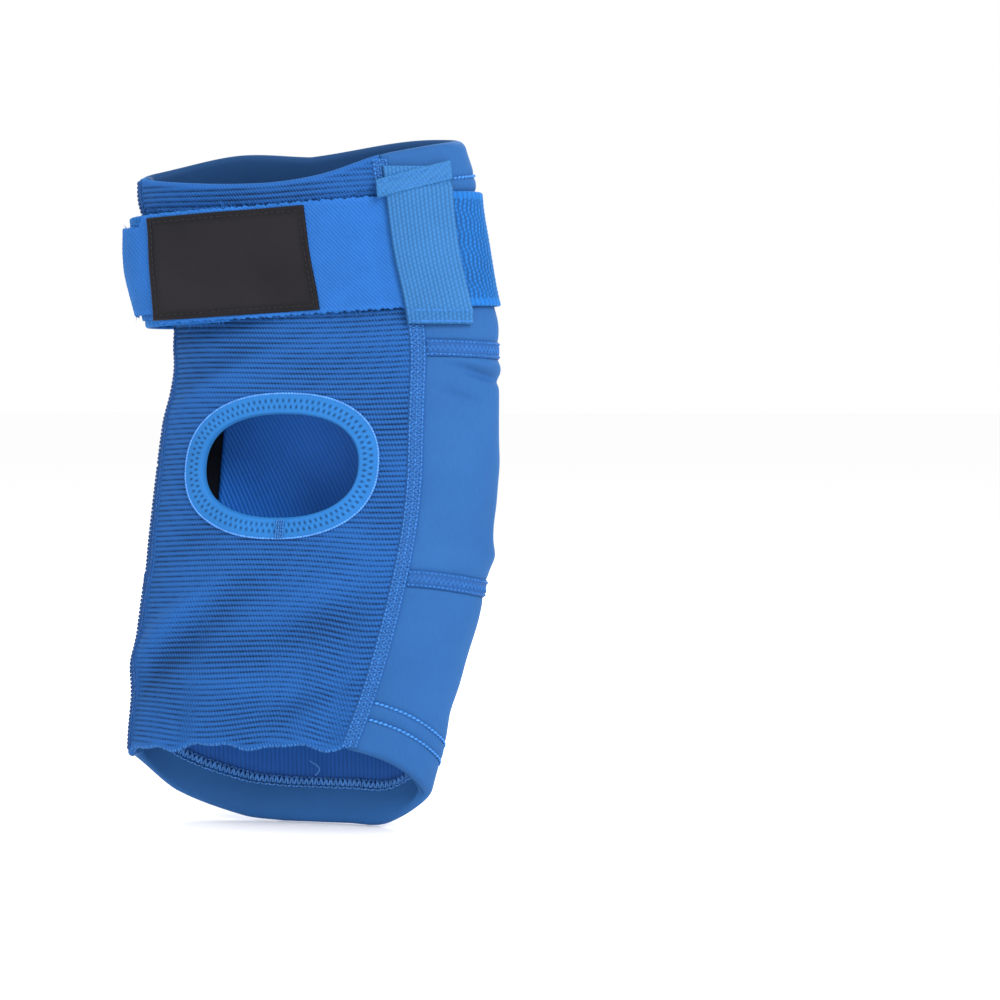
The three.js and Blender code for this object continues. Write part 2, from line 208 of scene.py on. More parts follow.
def relief(s, z):
    """The soft shape of the fabric: squeezed by the strap, puffed beside it and in shallow folds."""
    side = from_front(s, z)
    turn = np.pi * side / half_girth(z)
    off_strap = np.abs(z - strap_line(s, z))
    squeeze = 0.9 * bump(off_strap - 26, 6) - 0.8 * np.exp(-((off_strap / 18) ** 4))
    lumps = 0.4 * np.sin(2 * turn + z / 37) + 0.25 * np.sin(5 * turn - z / 19)
    hem = bump(z - bottom_edge(s, z) - 6, 12) * 0.5 * np.sin(3 * turn + 1)
    back_hem = -0.5 * bump(turn - np.pi, 0.5) * bump(z - 218, 8)
    return squeeze + folds(s, z) + lumps + hem + back_hem


def frame_at(s, z):
    """Unit vectors round the sleeve and outwards from it, at s and z."""
    step = 1.2  # the span, to each side, that the surface's direction is taken over
    ax, ay = section_point(s + step, z)
    bx, by = section_point(s - step, z)
    tx, ty = ax - bx, ay - by
    length = np.hypot(tx, ty)
    flat = np.zeros_like(tx)
    return np.stack([tx / length, ty / length, flat], -1), np.stack([ty / length, -tx / length, flat], -1)


def on_sleeve(s, z, w=0.0, soft=True):
    """Points in metres at s, z and w, over the fabric's soft shape or over the plain sleeve."""
    s, z, w = np.broadcast_arrays(np.asarray(s, float), np.asarray(z, float), np.asarray(w, float))
    x, y = section_point(s, z)
    _, out = frame_at(s, z)
    reach = w + relief(s, z) if soft else w
    place = np.stack([x + along(CENTRE_X, z) + SHIFT_X, y + along(CENTRE_Y, z) + SHIFT_Y, z], -1)
    return (place + out * reach[..., None]) * MM


# ---- mesh helpers ----
def link(thing):
    bpy.context.scene.collection.objects.link(thing)
    return thing


def set_uv(mesh, uv):
    """Gives each corner of the mesh the UV of its point."""
    corner = np.empty(len(mesh.loops), int)
    mesh.loops.foreach_get("vertex_index", corner)
    layer = mesh.uv_layers.get("UVMap") or mesh.uv_layers.new(name="UVMap")
    layer.data.foreach_set("uv", np.asarray(uv, float).reshape(-1, 2)[corner].ravel())


def make_object(name, points, faces, materials, uv=None, tone=None, face_material=None):
    """A smooth mesh object from points in metres, with a UV and a tone from 0 to 1 at each point."""
    mesh = bpy.data.meshes.new(name)
    mesh.from_pydata(np.asarray(points).reshape(-1, 3).tolist(), [], [list(map(int, f)) for f in faces])
    mesh.update()
    for material in materials:
        mesh.materials.append(material)
    mesh.polygons.foreach_set("use_smooth", [True] * len(mesh.polygons))
    if face_material is not None:
        mesh.polygons.foreach_set("material_index", face_material)
    if uv is not None:
        set_uv(mesh, uv)
    shade = mesh.attributes.new("tone", "FLOAT", "POINT")
    values = np.full(len(mesh.vertices), 0.5) if tone is None else np.asarray(tone, float).ravel()
    shade.data.foreach_set("value", values.astype(np.float32))
    return link(bpy.data.objects.new(name, mesh))


def flat_uv(points):
    """UV from x and z."""
    return points[:, [0, 2]] / (UV_UNIT * MM)


def lines(s0, s1, z0, z1, u, v):
    """A grid of s and z between two lines round the sleeve and two heights, at shares u and v."""
    u, v = np.asarray(u, float)[None, :], np.asarray(v, float)[:, None]
    z = np.full((v.size, u.size), LENGTH / 2.0)
    s = np.zeros_like(z)
    for _ in range(5):
        s = s0(z) * (1 - u) + s1(z) * u
        z = z0(s, z) * (1 - v) + z1(s, z) * v + 0 * s
    return s0(z) * (1 - u) + s1(z) * u, z


ROUND_ROWS = 5  # rows over a rounded edge


def shares(length, step, fine_start=0.0, fine_end=0.0):
    """Shares from 0 to 1 with about the given step, and closer rows over the rounded ends."""
    middle = np.linspace(0, 1, max(int(round(length / step)), 1) + 1)
    arc = (1 - np.cos(np.linspace(0, math.pi / 2, ROUND_ROWS)))[:-1]
    start = arc * fine_start / length if fine_start else np.array([0.0])
    end = 1 - (arc * fine_end / length)[::-1] if fine_end else np.array([1.0])
    inner = middle[(middle > fine_start / length + 1e-4) & (middle < 1 - fine_end / length - 1e-4)]
    first = [fine_start / length] if fine_start else []
    last = [1 - fine_end / length] if fine_end else []
    return np.concatenate([start, first, inner, last, end])


def round_off(distance, radius):
    """How much of its thickness a layer keeps at a distance from a rounded edge."""
    t = np.clip(1 - np.asarray(distance, float) / radius, 0, 1)
    return np.sqrt(np.clip(1 - t * t, 0, 1))


def rounded(outer, inner, edge, radius):
    """Brings a layer's two faces together at its rounded edge."""
    full = round_off(edge, radius)
    middle = (outer + inner) / 2
    return middle + (outer - middle) * full, middle + (inner - middle) * full


def shell(name, s, z, outer, inner, materials, tone=None, keep=None, inner_material=0):
    """A layer over a grid of s and z, from w = inner to w = outer, closed but where its other half joins it.

    keep marks the cells that exist, and inner_material gives the material index of each inner face.
    """
    rows, columns = s.shape
    outer, inner = np.broadcast_to(outer, s.shape), np.broadcast_to(inner, s.shape)
    points = np.concatenate([on_sleeve(s, z, w).reshape(-1, 3) for w in (outer, inner)])
    count = rows * columns
    index = np.arange(count).reshape(rows, columns)
    keep = np.ones((rows - 1, columns - 1), bool) if keep is None else keep
    a, b, c, d = index[:-1, :-1], index[:-1, 1:], index[1:, 1:], index[1:, :-1]
    front = np.stack([a, b, c, d], -1)[keep]
    back = np.stack([d, c, b, a], -1)[keep] + count
    padded = np.pad(keep, 1)
    walls = []
    for (dr, dc), (p, q) in {(-1, 0): (b, a), (1, 0): (d, c), (0, -1): (a, d), (0, 1): (c, b)}.items():
        beside = padded[1 + dr:rows + dr, 1 + dc:columns + dc]
        edge = keep & ~beside
        walls.append(np.stack([p[edge], q[edge], q[edge] + count, p[edge] + count], -1))
    walls = np.concatenate(walls)
    meets = np.abs(z.ravel()[walls % count] - SPLIT_Z).max(1) < 1e-6
    walls = walls[~meets]  # two halves of one piece meet with nothing between them
    faces = np.concatenate([front, back, walls])
    used = np.unique(faces)
    renumber = np.zeros(2 * count, int)
    renumber[used] = np.arange(len(used))
    uv = np.stack([s, z], -1).reshape(-1, 2) / UV_UNIT
    uv = np.concatenate([uv, uv])[used]
    tones = None
    if tone is not None:
        flat = np.broadcast_to(tone, s.shape).ravel()
        tones = np.concatenate([flat, flat])[used]
    lined = np.broadcast_to(inner_material, keep.shape)[keep]
    which = np.concatenate([np.zeros(len(front)), lined, np.zeros(len(walls))])
    thing = make_object(name, points[used], renumber[faces], materials, uv, tones, which.astype(int))
    smooth = np.arange(len(faces)) < len(front) + len(back)
    thing.data.polygons.foreach_set("use_smooth", smooth)
    return thing


def resample(s, z, w, pitch):
    """Points at an even pitch in millimetres along a path over the sleeve."""
    w = np.broadcast_to(np.asarray(w, float), s.shape)
    place = on_sleeve(s, z, 0)
    travelled = np.concatenate([[0], np.cumsum(np.linalg.norm(np.diff(place, axis=0), axis=1))]) / MM
    at = np.arange(pitch / 2, travelled[-1], pitch)
    return np.interp(at, travelled, s), np.interp(at, travelled, z), np.interp(at, travelled, w)


ROUND_SIDES, ROUND_RINGS = 6, 5


def beads(centres, forward, outward, length, radius):
    """Points and faces of small thread-like capsules, one at each centre, in metres."""
    sideways = np.cross(outward, forward)
    rings = np.linspace(-0.92, 0.92, ROUND_RINGS)
    spin = np.arange(ROUND_SIDES) * 2 * math.pi / ROUND_SIDES
    parts = []
    for t in rings:
        girth = math.sqrt(1 - t * t)
        for angle in spin:
            parts.append((t * length / 2, girth * radius * math.cos(angle), girth * radius * math.sin(angle)))
    parts += [(-length / 2, 0, 0), (length / 2, 0, 0)]
    shape = np.array(parts)
    axes = np.stack([forward, sideways, outward], 1)
    points = centres[:, None, :] + np.einsum("pk,nkx->npx", shape, axes)
    faces = []
    for ring in range(ROUND_RINGS - 1):
        for side in range(ROUND_SIDES):
            a, b = ring * ROUND_SIDES + side, ring * ROUND_SIDES + (side + 1) % ROUND_SIDES
            faces.append([a, b, b + ROUND_SIDES, a + ROUND_SIDES])
    low, high = ROUND_RINGS * ROUND_SIDES, ROUND_RINGS * ROUND_SIDES + 1
    last = (ROUND_RINGS - 1) * ROUND_SIDES
    for side in range(ROUND_SIDES):
        after = (side + 1) % ROUND_SIDES
        faces.append([low, after, side])
        faces.append([high, last + side, last + after])
    every = [[f + n * len(shape) for f in face] for n in range(len(centres)) for face in faces]
    return points.reshape(-1, 3), every


class Thread:
    """Collects rows of stitches into one mesh object."""

    def __init__(self):
        self.points, self.faces, self.tones = [], [], []

    def row(self, s, z, w, pitch, length, radius, turn=0.0, zigzag=0.0):
        """Stitches along a path, with w, pitch, length and radius in millimetres.

        turn is their angle to the path in degrees, and zigzag how far they alternate to each side of it.
        """
        s, z, w = resample(np.asarray(s, float), np.asarray(z, float), w, pitch)
        if len(s) < 3:
            return
        place = on_sleeve(s, z, w)
        forward = np.gradient(place, axis=0)
        forward /= np.linalg.norm(forward, axis=1, keepdims=True)
        out = frame_at(s, z)[1]
        sideways = np.cross(out, forward)
        sign = np.where(np.arange(len(s)) % 2, 1, -1)
        angle = np.radians(turn + zigzag * sign)[:, None]
        lean = np.radians(RANDOM.normal(0, 3, len(s)))[:, None]
        heading = forward * np.cos(angle + lean) + sideways * np.sin(angle + lean)
        out = out - heading * np.sum(out * heading, 1, keepdims=True)
        out /= np.linalg.norm(out, axis=1, keepdims=True)
        self.add(place, heading, out, length, radius)

    def add(self, place, heading, out, length, radius):
        points, faces = beads(place, heading, out, length * MM, radius * MM)
        start = sum(len(p) for p in self.points)
        self.points.append(points)
        self.faces += [[f + start for f in face] for face in faces]
        each = len(points) // len(place)
        self.tones.append(np.repeat(RANDOM.uniform(0.3, 0.8, len(place)), each))

    def finish(self, name, material):
        """All the rows as one object."""
        points = np.concatenate(self.points)
        return make_object(name, points, self.faces, [material], flat_uv(points), np.concatenate(self.tones))


def tube(path, radius, sides):
    """Points and faces of a closed round tube along a path in metres."""
    path = np.asarray(path, float)
    forward = np.gradient(path, axis=0)
    forward /= np.linalg.norm(forward, axis=1, keepdims=True)
    side = np.cross(forward, [0.31, 0.25, 0.92])
    side /= np.linalg.norm(side, axis=1, keepdims=True)
    up = np.cross(side, forward)
    spin = np.arange(sides) * 2 * math.pi / sides
    ring = side[:, None, :] * np.cos(spin)[None, :, None] + up[:, None, :] * np.sin(spin)[None, :, None]
    points = (path[:, None, :] + ring * np.reshape(radius, (-1, 1, 1))).reshape(-1, 3)
    faces = []
    for i in range(len(path) - 1):
        for j in range(sides):
            a, b = i * sides + j, i * sides + (j + 1) % sides
            faces.append([a, a + sides, b + sides, b])
    faces.append(list(range(sides)))
    faces.append(list(range((len(path) - 1) * sides, len(path) * sides))[::-1])
    return points, faces


# ---- materials ----
SPECULAR, SHEEN_ROUGHNESS = 0.15, 0.4


class Finish:
    """A procedural fabric: a base colour with noise, a thread pattern from UV and the mesh's tone, which in
    some pieces is painted shade.
    """

    def __init__(self, name, roughness, sheen, sheen_tint):
        self.material = bpy.data.materials.new(name)
        self.material.use_nodes = True
        self.tree = self.material.node_tree
        self.shader = self.tree.nodes["Principled BSDF"]
        self.shader.inputs["Roughness"].default_value = roughness
        self.shader.inputs["Specular IOR Level"].default_value = SPECULAR
        self.shader.inputs["Sheen Weight"].default_value = sheen
        self.shader.inputs["Sheen Roughness"].default_value = SHEEN_ROUGHNESS
        self.shader.inputs["Sheen Tint"].default_value = (*sheen_tint, 1)
        self.uv = self.node("ShaderNodeUVMap", uv_map="UVMap").outputs["UV"]

    def node(self, kind, inputs=(), **settings):
        made = self.tree.nodes.new(kind)
        for key, value in settings.items():
            setattr(made, key, value)
        for key, value in dict(inputs).items():
            if isinstance(value, bpy.types.NodeSocket):
                self.tree.links.new(value, made.inputs[key])
            else:
                made.inputs[key].default_value = value
        return made

    def math(self, operation, a, b=0.0):
        return self.node("ShaderNodeMath", {0: a, 1: b}, operation=operation).outputs[0]

    def noise(self, scale, detail=2.0, squash=(1, 1, 1)):
        """Noise over the UV, scale in features to one unit of UV."""
        mapped = self.node("ShaderNodeMapping", {"Vector": self.uv, "Scale": squash}).outputs[0]
        made = self.node("ShaderNodeTexNoise", {"Vector": mapped, "Scale": scale, "Detail": detail})
        return made.outputs["Fac"]

    def ripple(self, pitch, angle):
        """A sine from 0 to 1 across the UV, pitch in mm, angle in degrees from the s direction."""
        parts = self.node("ShaderNodeSeparateXYZ", {0: self.uv})
        turn, angle = UV_UNIT * 2 * math.pi / pitch, math.radians(angle)
        along_s = self.math("MULTIPLY", parts.outputs[0], turn * math.cos(angle))
        along_z = self.math("MULTIPLY", parts.outputs[1], turn * math.sin(angle))
        wave = self.math("SINE", self.math("ADD", along_s, along_z))
        return self.math("MULTIPLY", self.math("ADD", wave, 1.0), 0.5)

    def tone(self):
        return self.node("ShaderNodeAttribute", attribute_name="tone").outputs["Fac"]

    def weigh(self, *parts):
        """Sum of (value, weight) pairs, less its middle, plus one half, clamped to 0 to 1."""
        total = 0.5 - sum(weight for _, weight in parts) / 2
        for value, weight in parts:
            total = self.math("ADD", self.math("MULTIPLY", value, weight), total)
        return self.math("MAXIMUM", self.math("MINIMUM", total, 1.0), 0.0)

    def paint(self, base, dark, light, *parts):
        """The base colour from dark to light times base, by the weighed parts."""
        mix = self.node("ShaderNodeMix", data_type="RGBA")
        self.tree.links.new(self.weigh(*parts), mix.inputs["Factor"])
        for socket, factor in (("A", dark), ("B", light)):
            mix.inputs[socket].default_value = (*scaled(base, factor), 1)
        self.tree.links.new(mix.outputs["Result"], self.shader.inputs["Base Color"])

    def emboss(self, height, strength, distance):
        """Fine relief in the surface, distance in millimetres; gives the finished material."""
        inputs = {"Height": height, "Strength": strength, "Distance": distance * MM}
        normal = self.node("ShaderNodeBump", inputs).outputs[0]
        self.tree.links.new(normal, self.shader.inputs["Normal"])
        return self.material


def scaled(colour, factor):
    return tuple(min(c * factor, 1.0) for c in colour)


def neoprene_finish(name="neoprene_jersey", depth=1.0):
    made = Finish(name, 0.72, 0.15, (0.1, 0.5, 1.0))
    grain = made.noise(160, 3, (1, 0.16, 1))
    patch = made.noise(3.2, 3)
    speck = made.noise(900, 1)
    wale = made.ripple(0.62, 0)
    base = scaled((0.016, 0.084, 0.252), depth)
    made.paint(base, 0.8, 1.18, (grain, 0.5), (patch, 0.7), (speck, 0.25), (wale, 0.1))
    return made.emboss(made.weigh((grain, 0.8), (wale, 0.5), (speck, 0.5)), 0.22, 0.18)


def knit_finish():
    made = Finish("ribbed_knit", 0.85, 0.12, (0.1, 0.5, 1.0))
    base = (0.0075, 0.050, 0.174)
    loops = made.ripple(1.05, 24)
    fuzz = made.noise(420, 3)
    patch = made.noise(2.6, 2)
    # the tone sways the colour strongly: painted shade in the rib valleys and the folds' hollows, painted
    # light on their tops
    made.paint(base, 0.34, 1.75, (made.tone(), 1.25), (loops, 0.4), (fuzz, 0.6), (patch, 0.9))
    return made.emboss(made.weigh((loops, 0.9), (fuzz, 0.6)), 0.55, 0.3)


def lining_finish(name, depth):
    made = Finish(name, 0.5, 0.2, (0.1, 0.45, 1.0))
    base = scaled((0.014, 0.135, 0.560), depth)
    ribs = made.ripple(1.5, -24)
    grain = made.noise(300, 2)
    patch = made.noise(2.4, 2)
    # the ribs lighten and darken the colour: the lining's rib pattern, with painted sheen along it
    made.paint(base, 0.7, 1.4, (ribs, 0.45), (grain, 0.3), (patch, 0.7))
    return made.emboss(made.weigh((ribs, 1.0), (grain, 0.3)), 0.4, 0.3)


def webbing_finish(name, base, sheen):
    made = Finish(name, 0.7, sheen, (0.1, 0.55, 1.0))
    fuzz = made.noise(500, 2)
    patch = made.noise(5, 2)
    # the tone paints shade: between the elastic's loops, between the keeper's wales and in the binding's
    # needle holes
    made.paint(base, 0.45, 1.55, (made.tone(), 1.05), (fuzz, 0.45), (patch, 0.3))
    return made.emboss(fuzz, 0.4, 0.2)


def tab_finish():
    made = Finish("brushed_hook_and_loop", 0.9, 0.25, (0.1, 0.5, 1.0))
    base = (0.017, 0.108, 0.370)
    twill = made.ripple(1.15, 38)
    fuzz = made.noise(520, 4)
    patch = made.noise(9, 3)
    made.paint(base, 0.66, 1.3, (twill, 0.32), (fuzz, 0.75), (patch, 0.4), (made.tone(), 0.4))
    return made.emboss(made.weigh((twill, 0.7), (fuzz, 1.0)), 0.6, 0.3)


def hook_finish():
    made = Finish("hook_patch", 0.45, 0.0, (1, 1, 1))
    base = (0.014, 0.090, 0.310)
    across, up = made.ripple(1.5, 0), made.ripple(1.2, 90)
    stems = made.math("MULTIPLY", across, up)
    made.paint(base, 0.45, 1.6, (stems, 1.2), (made.noise(300, 1), 0.2))
    return made.emboss(stems, 0.9, 0.6)


def label_finish():
    made = Finish("woven_label", 0.62, 0.1, (0.6, 0.6, 0.6))
    base = (0.008, 0.007, 0.010)
    weft, warp = made.ripple(0.5, 90), made.ripple(0.6, 0)
    haze = made.noise(6, 4)
    made.paint(base, 0.5, 1.5, (weft, 0.3), (warp, 0.15), (haze, 0.6), (made.tone(), 1.0))
    return made.emboss(made.weigh((weft, 1.0), (warp, 0.5)), 0.35, 0.15)


def thread_finish(name, base):
    made = Finish(name, 0.6, 0.1, (0.2, 0.5, 1.0))
    twist = made.ripple(0.45, 40)
    made.paint(base, 0.65, 1.35, (made.tone(), 0.8), (twist, 0.5))
    return made.emboss(twist, 0.5, 0.1)


NEOPRENE_MAT, KNIT_MAT, LINING_MAT = neoprene_finish(), knit_finish(), lining_finish("inner_lining", 0.6)
PAD_LINING_MAT = lining_finish("pad_lining", 1.0)
# the first of these is the neoprene at half its brightness: painted shade for the inside of the top hem's
# fold
# the second of these is near black: painted shade on the elbow panels' inner faces beyond the lining
SHADED_MAT, PAINTED_SHADE_BLACK_MAT = neoprene_finish("painted_shade_jersey", 0.5), neoprene_finish("painted_shade_near_black", 0.03)
ELASTIC_MAT = webbing_finish("knitted_elastic", (0.007, 0.100, 0.345), 0.25)
KEEPER_MAT = webbing_finish("ribbed_elastic", (0.021, 0.102, 0.262), 0.2)
BINDING_MAT = webbing_finish("edge_binding", (0.014, 0.115, 0.340), 0.2)
TAB_MAT, HOOK_MAT, LABEL_MAT = tab_finish(), hook_finish(), label_finish()
THREAD_MAT = thread_finish("blue_thread", (0.030, 0.140, 0.400))
LIGHT_THREAD_MAT = thread_finish("light_thread", (0.070, 0.230, 0.590))
HEM_THREAD_MAT = thread_finish("hem_thread", (0.040, 0.180, 0.500))
DARK_THREAD_MAT = thread_finish("deep_blue_thread", (0.012, 0.070, 0.235))
DEEP_THREAD_MAT = thread_finish("seam_thread", (0.022, 0.120, 0.370))
BLACK_THREAD_MAT = thread_finish("black_thread", (0.012, 0.011, 0.013))


# ---- placing pieces ----
def flex(piece):
    """Bakes the piece's placement into its mesh."""
    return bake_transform(piece)


def stands_for(piece, slot, *nodes):
    if nodes:
        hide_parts(*nodes)
    return piece


def sew(rows, name, material, half, *nodes):
    """The finished rows of stitches, baked in place, hiding the CAD parts they stand for."""
    return stands_for(flex(rows.finish(name, material)), "thread", *nodes)


def at(value):
    return lambda *_: value


def split(*_):
    return SPLIT_Z


# ---- panels ----
PANEL_STEP = 1.5  # between the grid's columns, and between its rows on the pad side
KNIT_ACROSS, NEOPRENE_TALL = 103, 90
HEM_ROUND, KNIT_ROUND = 2.6, 1.6  # how far from their edges the layers start to thin
HEM_ROWS = (12, 18)  # the hems' two rows of stitches, from the edge
LINED_REACH = 44  # the lining's reach round the sleeve, to each side of the pad's middle
RIB_PITCH, RIB_HEIGHT = 1.78, 0.42
PAINTED_FOLD_SHADE = 0.11  # painted light and shade: how much the knit's tone lightens on a fold's ridge and darkens in its hollow, for each millimetre of its height


def hem_groove(distance):
    dips = sum(bump(distance - row, 0.9) for row in HEM_ROWS)
    return 0.35 * bump(distance - sum(HEM_ROWS) / 2, 2.2) - 0.5 * dips


def seam_groove(s, z):
    """The neoprene dips where its panels are joined."""
    middles = (line(s, z) + SEAM_WIDTH / 2 for line in (lower_seam, upper_seam))
    return -0.5 * sum(np.exp(-(((z - middle) / 3.6) ** 4)) for middle in middles)


def neoprene_panel(name, half, low, high, hem=None):
    """One stretch of the neoprene wrap between the side seams, by way of the pad side."""
    left_side = lambda h: 2 * half_girth(h) + left_seam(h)
    u = shares(2 * half_girth(LENGTH / 2) - KNIT_ACROSS, PANEL_STEP)
    v = shares(NEOPRENE_TALL, 1.1, HEM_ROUND if hem == "bottom" else 0, HEM_ROUND if hem == "top" else 0)
    s, z = lines(right_seam, left_side, low, high, u, v)
    outer, inner = seam_groove(s, z), np.full_like(s, -NEOPRENE)
    # beyond the lining the inner face takes material 3, near black: painted shade in the gap beside the pad
    # lining
    lined = np.where(np.abs(s - half_girth(z))[1:, 1:] < LINED_REACH, 1, 3)
    if hem:
        edge = top_edge(s, z) - z if hem == "top" else z - bottom_edge(s, z)
        inner -= HEM_LAYER * (1 - smoothstep(edge, HEM_DEPTH - 1, HEM_DEPTH + 1))
        outer += hem_groove(edge)
        outer, inner = rounded(outer, inner, edge, HEM_ROUND)
        # inside the top hem's fold the inner face takes material 2, painted shade; inside the bottom hem it
        # stays plain neoprene
        lined = np.where(edge[1:, 1:] > HEM_DEPTH, 1, 2 if hem == "top" else 0)
    materials = [NEOPRENE_MAT, LINING_MAT, SHADED_MAT, PAINTED_SHADE_BLACK_MAT]
    return flex(shell(name, s, z, outer, inner, materials, inner_material=lined))


for panel_name, panel_node, *panel in (
        ("forearm_neoprene", "forearm_neoprene_panel", "lower", bottom_edge, lower_seam, "bottom"),
        ("elbow_neoprene_low", "elbow_neoprene_panel", "lower", lower_seam, split),
        ("elbow_neoprene_high", "elbow_neoprene_panel", "upper", split, upper_seam),
        ("upper_neoprene", "upper_neoprene_panel", "upper", upper_seam, top_edge, "top")):
    stands_for(neoprene_panel(panel_name, *panel), "neoprene", panel_node)


def outline(shape, centre_s, angle, grow=0.0):
    """s and z on a rounded outline, grown outwards by grow mm."""
    power = 2 / shape["squareness"]
    across = np.sign(np.cos(angle)) * np.abs(np.cos(angle)) ** power
    upward = np.sign(np.sin(angle)) * np.abs(np.sin(angle)) ** power
    z = shape["z"] + (shape["half_height"] + grow) * upward
    return centre_s(z) + (shape["half_width"] + grow) * across, z


def cells_inside(shape, centre_s, s, z, grow=0.0):
    """Marks the cells of a grid whose middles are inside a rounded outline, grown outwards by grow mm."""
    s, z = ((values[1:, 1:] + values[:-1, :-1]) / 2 for values in (s, z))
    power = shape["squareness"]
    across = np.abs((s - centre_s(z)) / (shape["half_width"] + grow)) ** power
    return across + np.abs((z - shape["z"]) / (shape["half_height"] + grow)) ** power < 1


def pit_centre(z):
    return PIT_S + 0.0 * np.asarray(z, float)


def rib_height(s, z):
    """Ribs that run round the knit, drifting a little and closing up near the lower hem."""
    side = from_front(s, z)
    drift = 0.02 * side + 0.9 * np.sin(side / 21 + z / 40) + 0.9 * np.sin(side / 9 + 1) * bump(z - 38, 14)
    drift = drift - 4 * bump(side - 30, 16) * bump(z - 50, 40)
    phase = (z - drift) / RIB_PITCH
    return np.abs(np.cos(np.pi * phase)) ** 0.8


def knit_edge(s):
    """The wave in the knit's lower edge."""
    return 0.9 * np.sin(s / 4.6) + 0.6 * np.sin(s / 2.3 + 1) - 1.4 * bump(s - 2, 6)


def knit_bottom(s, z):
    return bottom_edge(s, z) + knit_edge(s)


def knit_panel(name, half):
    """Half of the ribbed knit, from the lower end or the upper one to the split height."""
    if half == "lower":
        low, high, v = knit_bottom, split, shares(98, 0.42, KNIT_ROUND, 0)
    else:
        low, high, v = split, top_edge, shares(100, 0.42, 0, KNIT_ROUND)
    s, z = lines(left_seam, right_seam, low, high, shares(100, PANEL_STEP), v)
    ribs = rib_height(s, z)
    edge = z - low(s, z) if half == "lower" else top_edge(s, z) - z
    plain = 1 - smoothstep(edge, 1.0, 2.4)
    outer = RIB_HEIGHT * (ribs * (1 - plain) + 0.9 * plain) - 0.2 + 0.5 * bump(edge - 1.5, 1.5)
    outer, inner = rounded(outer, -KNIT - 0.2 * ribs, edge, KNIT_ROUND)
    keep = ~cells_inside(PIT, pit_centre, s, z, PIT_BINDING / 2)
    # the tone is painted shade: dark in the rib valleys and the folds' hollows, light on the rib tops, the
    # folds' ridges and along the edges
    tone = ribs * (1 - plain) + plain + PAINTED_FOLD_SHADE * folds(s, z)
    return flex(shell(name, s, z, outer, inner, [KNIT_MAT], tone, keep))


stands_for(knit_panel("knit_low", "lower"), "knit", "forearm_knit_panel", "elbow_knit_panel")
stands_for(knit_panel("knit_high", "upper"), "knit", "upper_knit_panel", "elbow_knit_panel")

# ---- seams ----
SEAM_ROWS = (-2.1, 0.0, 2.1)
SEAM_INNER = -0.8  # w of the seams' hidden inner face
SEAM_ACROSS = np.linspace(0, 1, 9)


def arch(across):
    """The flat-topped section of a seam, at shares of the way across it."""
    return np.sin(across * math.pi) ** 0.35


def side_seam(side, line, half, thread):
    """Half of a side seam: its raised band, three zigzag rows and the finer stitches between them."""
    if half == "lower":
        bottom, top, levels = lambda s, z: bottom_edge(s, z) + 1.2, split, ("forearm", "elbow")
    else:
        bottom, top, levels = split, lambda s, z: top_edge(s, z) - 1.5, ("elbow", "upper")
    s, z = lines(lambda h: line(h) - SEAM_WIDTH / 2, lambda h: line(h) + SEAM_WIDTH / 2, bottom, top,
                 SEAM_ACROSS, shares(110, PANEL_STEP))
    outer = 0.12 + 0.5 * arch(SEAM_ACROSS)
    piece = shell(f"side_seam_{side}_{half}", s, z, outer, SEAM_INNER, [DARK_THREAD_MAT])
    stands_for(flex(piece), "thread", *(f"{level}_side_seam_{side}" for level in levels))
    heights = z[:, len(SEAM_ACROSS) // 2]
    rows = Thread()
    for offset in SEAM_ROWS:
        rows.row(line(heights) + offset, heights, 0.72, 1.45, 1.35, 0.36, zigzag=14)
    for offset in (-1.05, 1.05):
        rows.row(line(heights) + offset, heights, 0.6, 0.95, 1.9, 0.2, turn=90, zigzag=28)
    sew(rows, f"side_seam_{side}_{half}_stitches", thread, half)


for seam_side, seam_line, seam_thread in (("right", right_seam, THREAD_MAT),
                                          ("left", left_seam, DARK_THREAD_MAT)):
    for seam_half in ("lower", "upper"):
        side_seam(seam_side, seam_line, seam_half, seam_thread)


def pad_reach(z, grow):
    """How far the pad's outline, grown by grow mm, reaches round the sleeve from its middle at a height."""
    height = np.minimum(np.abs((z - PAD["z"]) / (PAD["half_height"] + grow)), 1)
    return (PAD["half_width"] + grow) * (1 - height ** PAD["squareness"]) ** (1 / PAD["squareness"])


def cross_seam_piece(level, line, side):
    """The band and the stitches of a cross seam, from a side seam to the pad."""
    around = lambda h: half_girth(h) - pad_reach(h, 1)
    if side == "right":
        start, end = lambda h: right_seam(h) + 2.5, around
    else:
        start, end = lambda h: 2 * half_girth(h) - around(h), lambda h: 2 * half_girth(h) + left_seam(h) - 2.5
    s, z = lines(start, end, line, lambda s, z: line(s, z) + SEAM_WIDTH, shares(60, 1.2), SEAM_ACROSS)
    outer = 0.05 + 0.3 * arch(SEAM_ACROSS)[:, None]
    piece = shell(f"{level}_cross_seam_{side}_band", s, z, outer, SEAM_INNER, [DARK_THREAD_MAT])
    stands_for(flex(piece), "thread", f"{level}_cross_seam_{side}")
    path, centre = s[len(SEAM_ACROSS) // 2], z[len(SEAM_ACROSS) // 2]
    rows = Thread()
    for offset in (-2.2, 2.2):
        rows.row(path, centre + offset, 0.34, 1.5, 1.35, 0.36, zigzag=16)
    rows.row(path, centre, 0.3, 0.85, 3.6, 0.2, turn=90, zigzag=34)
    sew(rows, f"{level}_cross_seam_{side}_stitches", DEEP_THREAD_MAT, level)


for seam_level, seam_line in (("lower", lower_seam), ("upper", upper_seam)):
    for seam_side in ("right", "left"):
        cross_seam_piece(seam_level, seam_line, seam_side)

# ---- hems ----
def edge_path(start, end, edge, offset):
    """s and z along a line at an offset from an end's edge, from start to end."""
    level = lambda s, z: edge(s, z) + offset
    s, z = lines(start, end, level, level, shares(160, 0.8), [0.0])
    return s[0], z[0]


